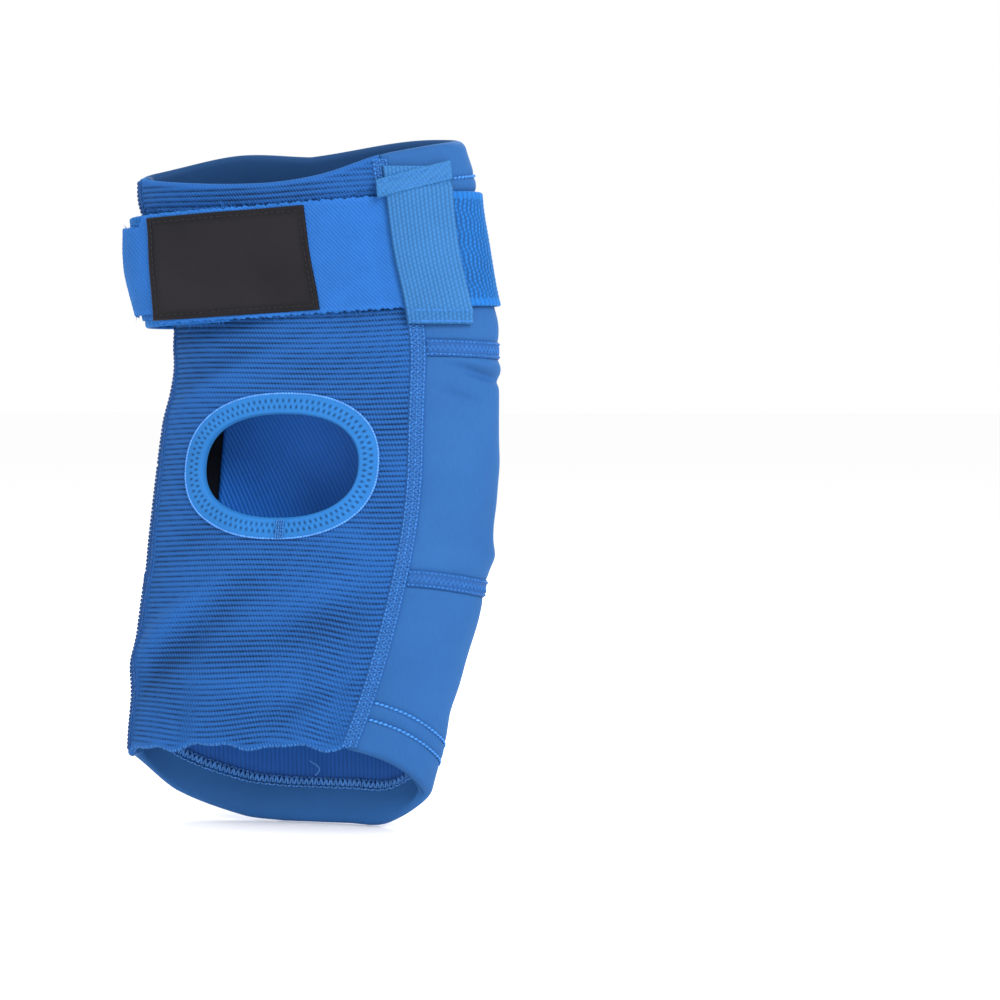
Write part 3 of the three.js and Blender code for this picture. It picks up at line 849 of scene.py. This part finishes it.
def neoprene_path(edge, offset):
    last = lambda z: 2 * half_girth(z) + LEFT_SEAM_S - 3
    return edge_path(lambda z: right_seam(z) + 3, last, edge, offset)


def knit_path(edge, offset):
    return edge_path(lambda z: left_seam(z) + 2.5, lambda z: right_seam(z) - 2.5, edge, offset)


def hem_rows(name, edge, sign, node):
    """A hem's two rows of stitches outside, and the overlock over its raw edge inside."""
    rows = Thread()
    for distance in HEM_ROWS:
        s, z = neoprene_path(edge, sign * distance)
        rows.row(s, z, 0.06, 1.75, 1.8, 0.5, turn=16)
    stands_for(flex(rows.finish(name, HEM_THREAD_MAT)), "thread")
    lock = Thread()
    s, z = neoprene_path(edge, sign * (HEM_DEPTH + 0.3))
    lock.row(s, z, -NEOPRENE - 1.2, 0.95, 3.4, 0.42, turn=90, zigzag=12)
    lock.row(s, z + sign * 1.5, -NEOPRENE - 0.5, 1.5, 1.5, 0.32, zigzag=20)
    lock.row(s, z - sign * 1.4, -NEOPRENE - HEM_LAYER - 0.1, 1.5, 1.5, 0.32, zigzag=20)
    stands_for(flex(lock.finish(f"{node}_overlock", LIGHT_THREAD_MAT)), "neoprene", node)


hem_rows("forearm_hem_stitches", bottom_edge, 1, "forearm_hem_fold")
hem_rows("upper_hem_stitches", top_edge, -1, "upper_hem_fold")


def knit_edge_rows():
    """Overlock along the knit's lower edge, and its row of stitches under the rolled top edge."""
    s, z = knit_path(bottom_edge, 0)
    low = Thread()
    low.row(s, z + knit_edge(s) + 0.9, 0.15, 1.15, 2.2, 0.36, turn=90, zigzag=18)
    low.row(s, z + knit_edge(s) + 0.2, -1.0, 1.6, 1.5, 0.4, zigzag=10)
    sew(low, "knit_edge_overlock", THREAD_MAT, "lower")
    high = Thread()
    high.row(*knit_path(top_edge, -10), 0.25, 1.9, 1.4, 0.25)
    sew(high, "knit_top_stitches", DARK_THREAD_MAT, "upper")


knit_edge_rows()

# ---- elbow pad ----
PAD_HEIGHT, PAD_BASE, PAD_INSET = 12.4, 0.4, 1.4
PAD_RINGS, PAD_SPOKES = 44, 240


def pad_grid():
    """s, z and the share of the way out, in rings from the pad's rim to its middle."""
    angle = np.linspace(0, 2 * math.pi, PAD_SPOKES, endpoint=False)
    share = (np.sin(np.linspace(math.pi / 2, 0, PAD_RINGS, endpoint=False)) ** 0.8)[:, None]
    edge_s, edge_z = outline(PAD, half_girth, angle, -PAD_INSET)
    z = PAD["z"] + (edge_z - PAD["z"]) * share
    return half_girth(z) + (edge_s - half_girth(edge_z)) * share, z, np.broadcast_to(share, z.shape)


def pad_profile(share):
    """The pad's height at a share of the way from its middle to its rim."""
    return PAD_HEIGHT * (1 - np.clip(share, 0, 1) ** 3.2) ** 0.62


def pad_mesh(name, s, z, height):
    """Closed pad: rings from the rim to the middle on top, and back out below."""
    top = on_sleeve(s, z, PAD_BASE + height, False)
    under = on_sleeve(s[1:], z[1:], PAD_BASE, False)
    count = PAD_RINGS * PAD_SPOKES
    index = np.arange(count).reshape(PAD_RINGS, PAD_SPOKES)
    below = np.concatenate([index[:1], index[1:] + count - PAD_SPOKES])
    faces = []
    for rings, flip in ((index, 1), (below, -1)):
        after = np.roll(rings, -1, 1)
        quads = np.stack([rings[:-1], rings[1:], after[1:], after[:-1]], -1).reshape(-1, 4)
        faces += quads[:, ::flip].tolist() + [rings[-1][::-flip].tolist()]
    points = np.concatenate([top.reshape(-1, 3), under.reshape(-1, 3)])
    return make_object(name, points, faces, [NEOPRENE_MAT])


def apply_modifiers(thing):
    bpy.context.view_layer.update()
    graph = bpy.context.evaluated_depsgraph_get()
    mesh = bpy.data.meshes.new_from_object(thing.evaluated_get(graph))
    thing.modifiers.clear()
    thing.data = mesh


def coordinates(mesh):
    flat = np.empty(len(mesh.vertices) * 3)
    mesh.vertices.foreach_get("co", flat)
    return flat.reshape(-1, 3)


PAD_VOXEL, PAD_PRESSURE, PAD_FRAMES, PAD_CAP = 3.2, 4.0, 20, 2.2
PAD_HELD = 2.0  # points within this of the sleeve are held still


def inflate(thing):
    """Cloth under pressure swells the pad, and no point moves further than the cap."""
    remesh = thing.modifiers.new("Remesh", "REMESH")
    remesh.mode = "VOXEL"
    remesh.voxel_size = PAD_VOXEL * MM
    apply_modifiers(thing)
    rest = coordinates(thing.data)
    cloth = thing.modifiers.new("Cloth", "CLOTH")
    cloth.settings.use_pressure = True
    cloth.settings.uniform_pressure_force = PAD_PRESSURE
    cloth.settings.effector_weights.gravity = 0
    cloth.settings.quality = 5
    held = thing.vertex_groups.new(name="held")
    flat = rest[:, 1] < on_sleeve(half_girth(rest[:, 2] / MM), rest[:, 2] / MM, PAD_HELD, False)[:, 1]
    held.add([int(i) for i in np.flatnonzero(flat)], 1.0, "REPLACE")
    cloth.settings.vertex_group_mass = "held"
    for step in range(1, PAD_FRAMES + 1):
        bpy.context.scene.frame_set(step)
    apply_modifiers(thing)
    moved = coordinates(thing.data)
    shift = moved - rest
    far = np.linalg.norm(shift, axis=1, keepdims=True)
    limited = rest + shift * np.minimum(1, PAD_CAP * MM / np.maximum(far, 1e-9))
    thing.data.vertices.foreach_set("co", limited.ravel())
    bpy.context.scene.frame_set(1)


def halves(thing, names):
    """Cuts an object at the split height into a lower and an upper one, which meet exactly."""
    made = []
    for name, keep_low in zip(names, (True, False)):
        body = bmesh.new()
        body.from_mesh(thing.data)
        geometry = body.verts[:] + body.edges[:] + body.faces[:]
        bmesh.ops.bisect_plane(body, geom=geometry, plane_co=(0, 0, SPLIT_Z * MM), plane_no=(0, 0, 1),
                               clear_outer=keep_low, clear_inner=not keep_low)
        mesh = bpy.data.meshes.new(name)
        body.to_mesh(mesh)
        body.free()
        mesh.polygons.foreach_set("use_smooth", [True] * len(mesh.polygons))
        mesh.materials.append(NEOPRENE_MAT)
        made.append(link(bpy.data.objects.new(name, mesh)))
    bpy.data.objects.remove(thing)
    return made


SIM_REACH, SIM_SMOOTHING = 30, 14


def swollen_height(s, z, height):
    """Heights of the pad after the cloth simulation has swollen it, read back on the same grid."""
    thing = pad_mesh("pad_swollen", s, z, height)
    inflate(thing)
    polygons = [tuple(polygon.vertices) for polygon in thing.data.polygons]
    tree = BVHTree.FromPolygons(coordinates(thing.data).tolist(), polygons)
    start, out = on_sleeve(s, z, SIM_REACH, False), frame_at(s, z)[1]
    found = height.copy()
    for place in np.ndindex(s.shape):
        distance = tree.ray_cast(Vector(start[place]), Vector(-out[place]))[3]
        if distance is not None:
            found[place] = SIM_REACH - distance / MM - PAD_BASE
    bpy.data.objects.remove(thing)
    for _ in range(SIM_SMOOTHING):
        ringed = np.pad(found, ((1, 1), (0, 0)), mode="edge")
        found = (ringed[2:] + ringed[:-2] + np.roll(found, 1, 1) + np.roll(found, -1, 1) + found) / 5
    return found


def pad_cover():
    s, z, share = pad_grid()
    height = pad_profile(share)
    swollen = 1 - smoothstep(share, 0.6, 0.93)
    height = height * (1 - swollen) + swollen_height(s, z, height) * swollen
    whole = pad_mesh("pad_cover_whole", s, z, height)
    low, high = halves(whole, ("pad_cover_low", "pad_cover_high"))
    for piece, half in ((low, "lower"), (high, "upper")):
        set_uv(piece.data, flat_uv(coordinates(piece.data)))
        stands_for(flex(piece), "neoprene", "pad_cover", "foam_pad")


def pad_border():
    """The stitched groove round the pad: a row of thick stitches, and a fine row outside it."""
    angle = np.linspace(-math.pi, math.pi, 1441)
    heights = outline(PAD, half_girth, angle)[1]
    for half, chosen in (("lower", heights <= SPLIT_Z), ("upper", heights >= SPLIT_Z)):
        picked = np.flatnonzero(chosen)
        rope, band = Thread(), Thread()
        for run in np.split(picked, np.flatnonzero(np.diff(picked) > 1) + 1):
            rope.row(*outline(PAD, half_girth, angle[run], 0.3), 0.3, 2.1, 2.0, 0.46, turn=14)
            band.row(*outline(PAD, half_girth, angle[run], 1.9), 0.02, 2.5, 1.5, 0.3)
        sew(rope, f"pad_border_{half}", THREAD_MAT, half, "pad_border_seam")
        sew(band, f"pad_border_row_{half}", DARK_THREAD_MAT, half)


pad_cover()
pad_border()


PAD_LINING = {"z": 127, "half_width": LINED_REACH, "half_height": 38, "squareness": 3.2}


def pad_lining():
    """The backing sewn behind the pad, on the sleeve's inner face."""
    width, height = PAD_LINING["half_width"], PAD_LINING["half_height"]
    u, v = shares(2 * width, PANEL_STEP), shares(42, PANEL_STEP)
    for half, low, high in (("lower", at(PAD_LINING["z"] - height), split),
                            ("upper", split, at(PAD_LINING["z"] + height))):
        s, z = lines(lambda h: half_girth(h) - width, lambda h: half_girth(h) + width, low, high, u, v)
        keep = cells_inside(PAD_LINING, half_girth, s, z)
        outer = -NEOPRENE - 0.15
        piece = shell(f"pad_lining_{half}", s, z, outer, outer - 0.75, [PAD_LINING_MAT], keep=keep)
        stands_for(flex(piece), "lining", "pad_lining")


pad_lining()

# ---- elbow-pit binding ----
BINDING_EDGES = [(0.0, -1.4), (0.1, -0.3), (0.5, 0.45)]
BINDING_FACE = (0.75, 6.9)
BINDING_BACK = [(7.3, 0.5), (7.45, 0.0), (7.1, -3.0), (5.6, -3.4), (3.0, -3.5), (1.2, -3.3), (0.4, -2.6)]
HOLE_PITCH, HOLE_ROWS = 2.1, ((2.5, 0.0), (4.7, 0.5))
BINDING_STEPS, EDGE_THREAD_AT, JOIN_S = 900, 7.2, PIT_S + 3


def even_angles(shape, centre_s, grow, count):
    """Angles that lie at even distances along a rounded outline, and its length in millimetres."""
    angle = np.linspace(-math.pi / 2, 1.5 * math.pi, 1801)
    place = on_sleeve(*outline(shape, centre_s, angle, grow), 0)
    travelled = np.concatenate([[0], np.cumsum(np.linalg.norm(np.diff(place, axis=0), axis=1))])
    even = np.linspace(0, travelled[-1], count, endpoint=False)
    return np.interp(even, travelled, angle), travelled[-1] / MM


def pit_binding():
    """The binding's closed section swept round the opening, its edge thread and the join at its foot."""
    steps = BINDING_STEPS
    angle, length = even_angles(PIT, pit_centre, sum(BINDING_FACE) / 2, steps)
    turns = np.arange(steps) / steps * round(length / HOLE_PITCH)
    face = [(r, 0.85 - 0.018 * (r - 3.8) ** 2) for r in np.linspace(*BINDING_FACE, 22)]
    points, uv, tones = [], [], []
    for r, w in BINDING_EDGES + face + BINDING_BACK:
        s, z = outline(PIT, pit_centre, angle, r)
        holes = sum(bump(r - row, 0.6) * np.abs(np.cos(math.pi * (turns + shift))) ** 5
                    for row, shift in HOLE_ROWS)
        zigzag = bump(r - 3.6 - 1.1 * np.cos(2 * math.pi * turns), 0.5)
        pucker = (0.12 * zigzag - 0.42 * holes) * (0.5 < r < 7 and w > 0)
        points.append(on_sleeve(s, z, w + pucker))
        uv.append(np.stack([turns * HOLE_PITCH, np.full_like(turns, r)], -1) / UV_UNIT)
        # the needle holes are painted darker: painted shade in the holes
        tones.append(0.6 + 0.12 * zigzag - 0.75 * holes)
    count = len(points)
    index = np.arange(count * steps).reshape(count, steps)
    after, below = np.roll(index, -1, 1), np.roll(index, -1, 0)
    faces = np.stack([index, after, np.roll(below, -1, 1), below], -1).reshape(-1, 4)
    piece = make_object("pit_binding", np.concatenate(points), faces, [BINDING_MAT], np.concatenate(uv),
                        np.clip(np.concatenate(tones), 0, 1))
    stands_for(flex(piece), "binding", "pit_opening_binding")
    rows = Thread()
    around = np.linspace(-math.pi / 2, 1.5 * math.pi, 700)
    s, z = outline(PIT, pit_centre, around, EDGE_THREAD_AT)
    rows.row(s, z, 0.62, 1.05, 1.25, 0.4)
    sew(rows, "pit_binding_edge", LIGHT_THREAD_MAT, "upper")
    join = Thread()
    for step in np.linspace(-1.2, 1.2, 4):
        s = np.full(20, JOIN_S + step)
        z = PIT["z"] - PIT["half_height"] - np.linspace(0.4, 7.0, 20)
        join.row(s, z, 1.2, 1.1, 1.3, 0.3, turn=20)
    sew(join, "pit_binding_join", THREAD_MAT, "upper")


pit_binding()

# ---- strap ----
BAND_W, BAND_THICK = 0.8, 1.7
BAND_START_S, BAND_END_S = 40, -28
TAB_END_S, TAB_ROOT_S = -65, 39
LABEL_FROM, LABEL_TO, LABEL_HEIGHT, LABEL_ROW = -51.5, 5.2, 35.5, 1.7
STAND_OFF = {"s": -64, "reach": 22, "low": 182, "high": 224, "least": 2.4, "most": 6.0}


def leaned(s):
    """A line across the strap that leans with it."""
    return lambda z: s + LEAN * (z - STRAP_Z)


def strap_band(half_height):
    """The band's two edges, half_height mm below and above its middle line."""
    return (lambda s, z: strap_line(s, z) - half_height), (lambda s, z: strap_line(s, z) + half_height)


def stand_off(s, z):
    """How far the strap stands off the sleeve's left side, where the sleeve narrows below it."""
    near = bump(from_front(s, z) - STAND_OFF["s"], STAND_OFF["reach"])
    below = 1 - smoothstep(z, STAND_OFF["low"], STAND_OFF["high"])
    return near * (STAND_OFF["least"] + STAND_OFF["most"] * below)


def elastic_bumps(s, z):
    """Staggered loops of knitted elastic, with plain selvedges; gives height 0 to 1."""
    across = z - strap_line(s, z)
    wobble = 0.25 * np.sin(s / 3.1 + across) + 0.2 * np.sin(across / 1.7 - s / 5)
    column = (s + wobble) / 1.55
    row = (across + 0.2 * np.sin(s / 2.2)) / 1.45 + 0.5 * np.floor(column)
    loops = np.sin(np.pi * column) ** 2 * (0.35 + 0.65 * np.sin(np.pi * row) ** 2)
    selvedge = smoothstep(np.abs(across), STRAP_WIDTH / 2 - 3.0, STRAP_WIDTH / 2 - 2.2)
    wale = 0.55 + 0.2 * np.sin(np.pi * s / 0.9)
    return loops * (1 - selvedge) + wale * selvedge


def strap_elastic():
    """The knitted elastic, from the keeper round the back to the sleeve's left side."""
    low, high = strap_band(STRAP_WIDTH / 2)
    end = lambda z: 2 * half_girth(z) + leaned(BAND_END_S)(z)
    u = shares(217, 0.52, 0.8, 0.8)
    v = shares(STRAP_WIDTH, 0.48, 0.8, 0.8)
    s, z = lines(leaned(BAND_START_S), end, low, high, u, v)
    height = elastic_bumps(s, z)
    edge = STRAP_WIDTH / 2 - np.abs(z - strap_line(s, z))
    full = round_off(edge, 0.8)
    middle = BAND_W + BAND_THICK / 2 + stand_off(s, z)
    rise = BAND_THICK / 2 * full
    # the loops' height is also the tone: painted shade between the loops, painted light on their tops
    piece = shell("strap_elastic_band", s, z, middle + rise + 0.34 * (height - 0.5) * full, middle - rise,
                  [ELASTIC_MAT], height)
    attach(piece, "upper_cuff")
    stands_for(piece, "elastic", "strap_elastic")


strap_elastic()

PATCH_THICK = 0.7
LOOP_W = BAND_W + BAND_THICK + 0.15
HOOK_W = LOOP_W + PATCH_THICK + 0.15
TAB_W, TAB_THICK = 0.9, 1.5
TAB_STACK = HOOK_W + PATCH_THICK + 0.1 - TAB_W  # the rise of the tab's inner face over its two patches


def patch_piece(name, s1, half_height, w, material, body, node):
    """A patch of hook or loop from near the tab's free end to s1."""
    s0 = TAB_END_S + 3
    low, high = strap_band(half_height)
    s, z = lines(leaned(s0), leaned(s1), low, high, shares(abs(s1 - s0), 0.9), shares(2 * half_height, 0.9))
    nap = 0.12 * np.sin(s * 4.1) * np.sin(z * 3.7)
    base = w + stand_off(s, z)
    piece = shell(name, s, z, base + PATCH_THICK + nap, base, [material])
    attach(piece, body)
    stands_for(piece, "tab", node)


patch_piece("loop_patch", BAND_END_S - 1, 17, LOOP_W, TAB_MAT, "upper_cuff", "strap_loop_patch")
patch_piece("hook_patch", BAND_END_S - 2, 14.2, HOOK_W, HOOK_MAT, "strap_tab_end", "tab_hook_patch")


def tab_inner(s, z):
    return TAB_W + TAB_STACK * smoothstep(-s, 8, 29) + stand_off(s, z)


def tab_half_height(s):
    """The tab narrows towards its free end."""
    return 19.0 - 3.6 * smoothstep(-s, 52, 54.5)


def hinge_blend(piece):
    """Bakes the piece's placement into its mesh."""
    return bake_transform(piece)


def strap_tab():
    """The brushed tab, from the keeper to its free end, with its cut edges frayed."""
    low = lambda s, z: strap_line(s, z) - tab_half_height(s)
    high = lambda s, z: strap_line(s, z) + tab_half_height(s)
    u, v = shares(100, 0.7, 0.9, 0.9), shares(38, 0.7, 0.9, 0.9)
    s, z = lines(leaned(TAB_END_S), leaned(TAB_ROOT_S), low, high, u, v)
    edge = tab_half_height(s) - np.abs(z - strap_line(s, z))
    end = s - leaned(TAB_END_S)(z)
    fray = 0.25 * np.sin(s * 2.9) + 0.2 * np.sin(s * 1.3 + 2)
    z = z + fray * (1 - smoothstep(edge, 0, 3)) * np.sign(z - strap_line(s, z))
    full = np.minimum(round_off(edge, 0.9), round_off(end, 0.9))
    middle = tab_inner(s, z) + TAB_THICK / 2
    nap = 0.10 * np.sin((s + z) * 2.1) * np.sin((s - z) * 1.7)
    rise = TAB_THICK / 2 * full
    sag = 0.35 * np.sin(s / 9) * smoothstep(s, -10, 10)
    tone = 0.5 + 0.4 * (1 - smoothstep(edge, 0, 2.5))
    outer, inner = middle + rise + (nap + sag) * full, middle - rise + sag * full
    piece = shell("strap_tab_band", s, z, outer, inner, [TAB_MAT], tone)
    hinge_blend(piece)
    stands_for(piece, "tab", "strap_tab")


strap_tab()


def tab_fuzz():
    """Loose pile fibres along the tab's cut edges."""
    points, faces, start = [], [], 0
    for edge in (1, -1):
        for _ in range(170):
            s = RANDOM.uniform(TAB_END_S + 2, 24)
            if RANDOM.random() < 0.3:
                s = RANDOM.normal(-22 if edge > 0 else -36, 3)
            z = strap_line(s, STRAP_Z) + edge * (tab_half_height(s) - 0.3)
            w = tab_inner(s, z) + TAB_THICK * RANDOM.uniform(0.3, 0.9)
            reach = RANDOM.gamma(2.0, 0.6) + 0.3
            lean, lift = RANDOM.normal(0, 1.0), RANDOM.uniform(-0.2, 0.9)
            t = np.linspace(0, 1, 5)
            curl = RANDOM.normal(0, 0.5)
            path = on_sleeve(s + lean * t + curl * t * t, z + edge * reach * (t - 0.25 * t * t), w + lift * t)
            tube_points, tube_faces = tube(path, 0.075 * MM * (1.15 - t), 4)
            points.append(tube_points)
            faces += [[f + start for f in face] for face in tube_faces]
            start += len(tube_points)
    points = np.concatenate(points)
    tone = np.full(len(points), 0.95)
    piece = make_object("tab_edge_fuzz", points, faces, [TAB_MAT], flat_uv(points), tone)
    hinge_blend(piece)
    stands_for(piece, "tab")


tab_fuzz()


def label():
    """The plain woven patch sewn on the tab, with its edge turned under."""
    half = LABEL_HEIGHT / 2
    low, high = strap_band(half)
    face = lambda s, z: tab_inner(s, z) + TAB_THICK
    u, v = shares(LABEL_TO - LABEL_FROM, 0.9, 0.7, 0.7), shares(LABEL_HEIGHT, 0.9, 0.7, 0.7)
    s, z = lines(leaned(LABEL_FROM), leaned(LABEL_TO), low, high, u, v)
    edge_z = half - np.abs(z - strap_line(s, z))
    edge_s = np.minimum(s - leaned(LABEL_FROM)(z), leaned(LABEL_TO)(z) - s)
    edge = np.minimum(edge_z, edge_s)
    thick = 0.9 * round_off(edge, 0.7)
    turned = 0.16 * (1 - smoothstep(edge, 3.2, 4.4)) - 0.22 * bump(edge - LABEL_ROW, 0.5)
    ripple = 0.12 * np.sin(s / 4.3 + z / 9)
    tone = 0.58 - 0.42 * (1 - smoothstep(edge, 2.0, 4.0)) + 0.1 * np.sin(s / 13 + z / 8)
    outer = face(s, z) + thick + turned + ripple
    piece = shell("label_patch", s, z, outer, face(s, z) - 0.2, [LABEL_MAT], tone)
    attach(piece, "strap_tab_end")
    stands_for(piece, "label", "tab_label")
    rows = Thread()
    ends, up = (LABEL_FROM + LABEL_ROW, LABEL_TO - LABEL_ROW), half - LABEL_ROW
    for rise in (up, -up):
        level = STRAP_Z + rise
        s = np.linspace(leaned(ends[0])(level), leaned(ends[1])(level), 90)
        z = strap_line(s, level) + rise
        rows.row(s, z, face(s, z) + 0.92, 2.1, 1.75, 0.3)
    for end in ends:
        z = strap_line(end, STRAP_Z) + np.linspace(-up, up, 60)
        s = leaned(end)(z)
        rows.row(s, z, face(s, z) + 0.92, 2.1, 1.75, 0.3)
    piece = rows.finish("label_stitches", BLACK_THREAD_MAT)
    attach(piece, "strap_tab_end")
    stands_for(piece, "label")


label()

# ---- keeper loop ----
KEEPER_S, KEEPER_WIDTH, KEEPER_SLANT = 45.2, 21.5, 0.05
KEEPER_LOW, KEEPER_HIGH = 177.5, 231
FLAP_Z, FLAP_SLOPE, FLAP_HEIGHT = 226.4, 0.27, 6.4
KEEPER_BASE, KEEPER_RISE, KEEPER_THICK = 0.9, 2.0, 1.4


def keeper_line(z):
    return KEEPER_S + KEEPER_SLANT * (z - STRAP_Z)


def keeper_lift(s, z):
    away = np.abs(z - strap_line(s, z)) - STRAP_WIDTH / 2
    return KEEPER_BASE + KEEPER_RISE * (1 - smoothstep(away, 0.3, 4.2))


def webbing_wales(s, z):
    """Upright wales of short loops, in rows across the webbing; gives height 0 to 1."""
    across = s - keeper_line(z)
    column = across / 1.32
    loop = (z + 0.75 * np.floor(column) % 1.5) / 1.5
    wale = np.abs(np.sin(np.pi * column)) ** 0.8
    return wale * (0.45 + 0.55 * np.abs(np.sin(np.pi * loop)) ** 0.8)


def keeper():
    """The webbing loop that the strap passes under, with its foot turned under and sewn down."""
    half = KEEPER_WIDTH / 2
    low, high = at(KEEPER_LOW), at(KEEPER_HIGH)
    u, v = shares(KEEPER_WIDTH, 0.33, 0.7, 0.7), shares(KEEPER_HIGH - KEEPER_LOW, 0.42, 0.7, 0.7)
    s, z = lines(lambda h: keeper_line(h) - half, lambda h: keeper_line(h) + half, low, high, u, v)
    height = webbing_wales(s, z)
    edge = half - np.abs(s - keeper_line(z))
    end = np.minimum(z - KEEPER_LOW, KEEPER_HIGH - z)
    full = np.minimum(round_off(edge, 0.7), round_off(end, 0.7))
    fold = 0.8 * (1 - smoothstep(z, KEEPER_LOW + 4.5, KEEPER_LOW + 6))
    middle = keeper_lift(s, z) + KEEPER_THICK / 2
    rise = KEEPER_THICK / 2 * full
    outer = middle + rise + (0.4 * (height - 0.5) + fold) * full
    # the wales' height is also the tone: painted shade between the wales, painted light on their tops
    piece = shell("keeper_band", s, z, outer, middle - rise, [KEEPER_MAT], 0.2 + 0.75 * height)
    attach(piece, "upper_cuff")
    stands_for(piece, "keeper", "keeper_loop")


def flap_line(s):
    return FLAP_Z + FLAP_SLOPE * (s - KEEPER_S)


def keeper_ends():
    """The turned flap sewn over the keeper's top, and the stitched fold at its foot."""
    half = KEEPER_WIDTH / 2
    left, right = (lambda h: keeper_line(h) - half - 2.8), (lambda h: keeper_line(h) + half + 0.4)
    low, high = (lambda s, z: flap_line(s) - FLAP_HEIGHT / 2), (lambda s, z: flap_line(s) + FLAP_HEIGHT / 2)
    u, v = shares(2 * half + 3, 0.33, 0.6, 0.6), shares(FLAP_HEIGHT, 0.42, 0.6, 0.6)
    s, z = lines(left, right, low, high, u, v)
    height = webbing_wales(s + 0.6 * z, z)
    edge = np.minimum(z - low(s, z), high(s, z) - z)
    side = np.minimum(s - left(z), right(z) - s)
    full = np.minimum(round_off(edge, 0.6), round_off(side, 0.6))
    base = keeper_lift(s, z) + KEEPER_THICK
    outer, inner = base + (1.0 + 0.3 * (height - 0.5)) * full, base - 1.6 * full
    # here too the wales' height is the tone: painted shade between them, painted light on their tops
    piece = shell("keeper_top_flap", s, z, outer, inner, [KEEPER_MAT], 0.35 + 0.6 * height)
    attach(piece, "upper_cuff")
    stands_for(piece, "keeper", "keeper_top_bartack")
    rows = Thread()
    for offset in (-1.6, 1.7):
        s = np.linspace(-half - 1.5, half - 0.5, 40) + keeper_line(FLAP_Z)
        z = flap_line(s) + offset
        rows.row(s, z, keeper_lift(s, z) + KEEPER_THICK + 1.0, 1.5, 1.3, 0.3)
    for level, pitch in ((KEEPER_LOW + 0.9, 1.15), (KEEPER_LOW + 4.6, 1.7)):
        s = np.linspace(-half + 1.5, half - 1.5, 40) + keeper_line(level)
        rows.row(s, np.full_like(s, level), keeper_lift(s, level) + KEEPER_THICK + 0.75, pitch, 1.5, 0.42)
    piece = rows.finish("keeper_stitches", THREAD_MAT)
    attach(piece, "upper_cuff")
    stands_for(piece, "thread", "keeper_bottom_bartack")


keeper()
keeper_ends()

# ---- loose thread inside the lower hem ----
LOOSE_THREAD_S = 119


def loose_thread():
    base = on_sleeve(LOOSE_THREAD_S, 17, -NEOPRENE - 2.4)
    t = np.linspace(0, 1, 24)[:, None]
    sway = np.stack([1.6 * np.sin(5 * t[:, 0]), -1.2 * t[:, 0], 8.5 * t[:, 0] - 3 * t[:, 0] ** 2], -1)
    points, faces = tube(base + sway * MM, np.full(24, 0.24 * MM), 6)
    piece = make_object("loose_thread_end", points, faces, [LIGHT_THREAD_MAT], flat_uv(points))
    stands_for(flex(piece), "thread")


loose_thread()

# ---- floor, light and camera ----
AMBIENT = 1.0


def stage():
    size, drop = 40.0, 0.0004
    corners = [(-size, -size, -drop), (size, -size, -drop), (size, size, -drop), (-size, size, -drop)]
    material = bpy.data.materials.new("pale_floor")
    material.use_nodes = True
    shader = material.node_tree.nodes["Principled BSDF"]
    shader.inputs["Base Color"].default_value = (0.98, 0.98, 0.98, 1)
    shader.inputs["Roughness"].default_value = 0.9
    shader.inputs["Specular IOR Level"].default_value = 0.0
    floor = make_object("floor", corners, [(0, 1, 2, 3)], [material])
    world = bpy.data.worlds.new("studio")
    world.use_nodes = True
    background = world.node_tree.nodes["Background"]
    background.inputs["Color"].default_value = (1, 1, 1, 1)
    background.inputs["Strength"].default_value = AMBIENT
    bpy.context.scene.world = world
    bpy.context.scene.view_settings.view_transform = "Standard"


def area_light(name, place, target, size, power):
    data = bpy.data.lights.new(name, "AREA")
    data.size = size
    data.energy = power
    lamp = link(bpy.data.objects.new(name, data))
    lamp.location = place
    lamp.rotation_euler = (Vector(target) - Vector(place)).to_track_quat("-Z", "Y").to_euler()


LENS, DISTANCE = 100, 0.985
AZIMUTH, ELEVATION = 15, 2.0
AIM_RIGHT, AIM_UP = 0.0665, 0.116


def camera():
    """A long lens turned towards +X, with the pad in the left half of the frame."""
    azimuth, elevation = math.radians(AZIMUTH), math.radians(ELEVATION)
    right = Vector((math.cos(azimuth), math.sin(azimuth), 0))
    back = Vector((math.sin(azimuth) * math.cos(elevation), -math.cos(azimuth) * math.cos(elevation),
                   math.sin(elevation)))
    target = right * AIM_RIGHT + Vector((0, 0, AIM_UP))
    data = bpy.data.cameras.new("camera")
    data.lens = LENS
    thing = link(bpy.data.objects.new("camera", data))
    thing.location = target + back * DISTANCE
    thing.rotation_euler = (-back).to_track_quat("-Z", "Y").to_euler()
    bpy.context.scene.camera = thing


stage()
middle = (0, 0, 0.125)
area_light("key", (1.1, -1.0, 0.9), middle, 0.6, 26)
area_light("fill", (-1.0, -0.9, 1.1), middle, 0.9, 6)
area_light("back", (0.2, 1.3, 1.1), middle, 0.9, 14)
camera()
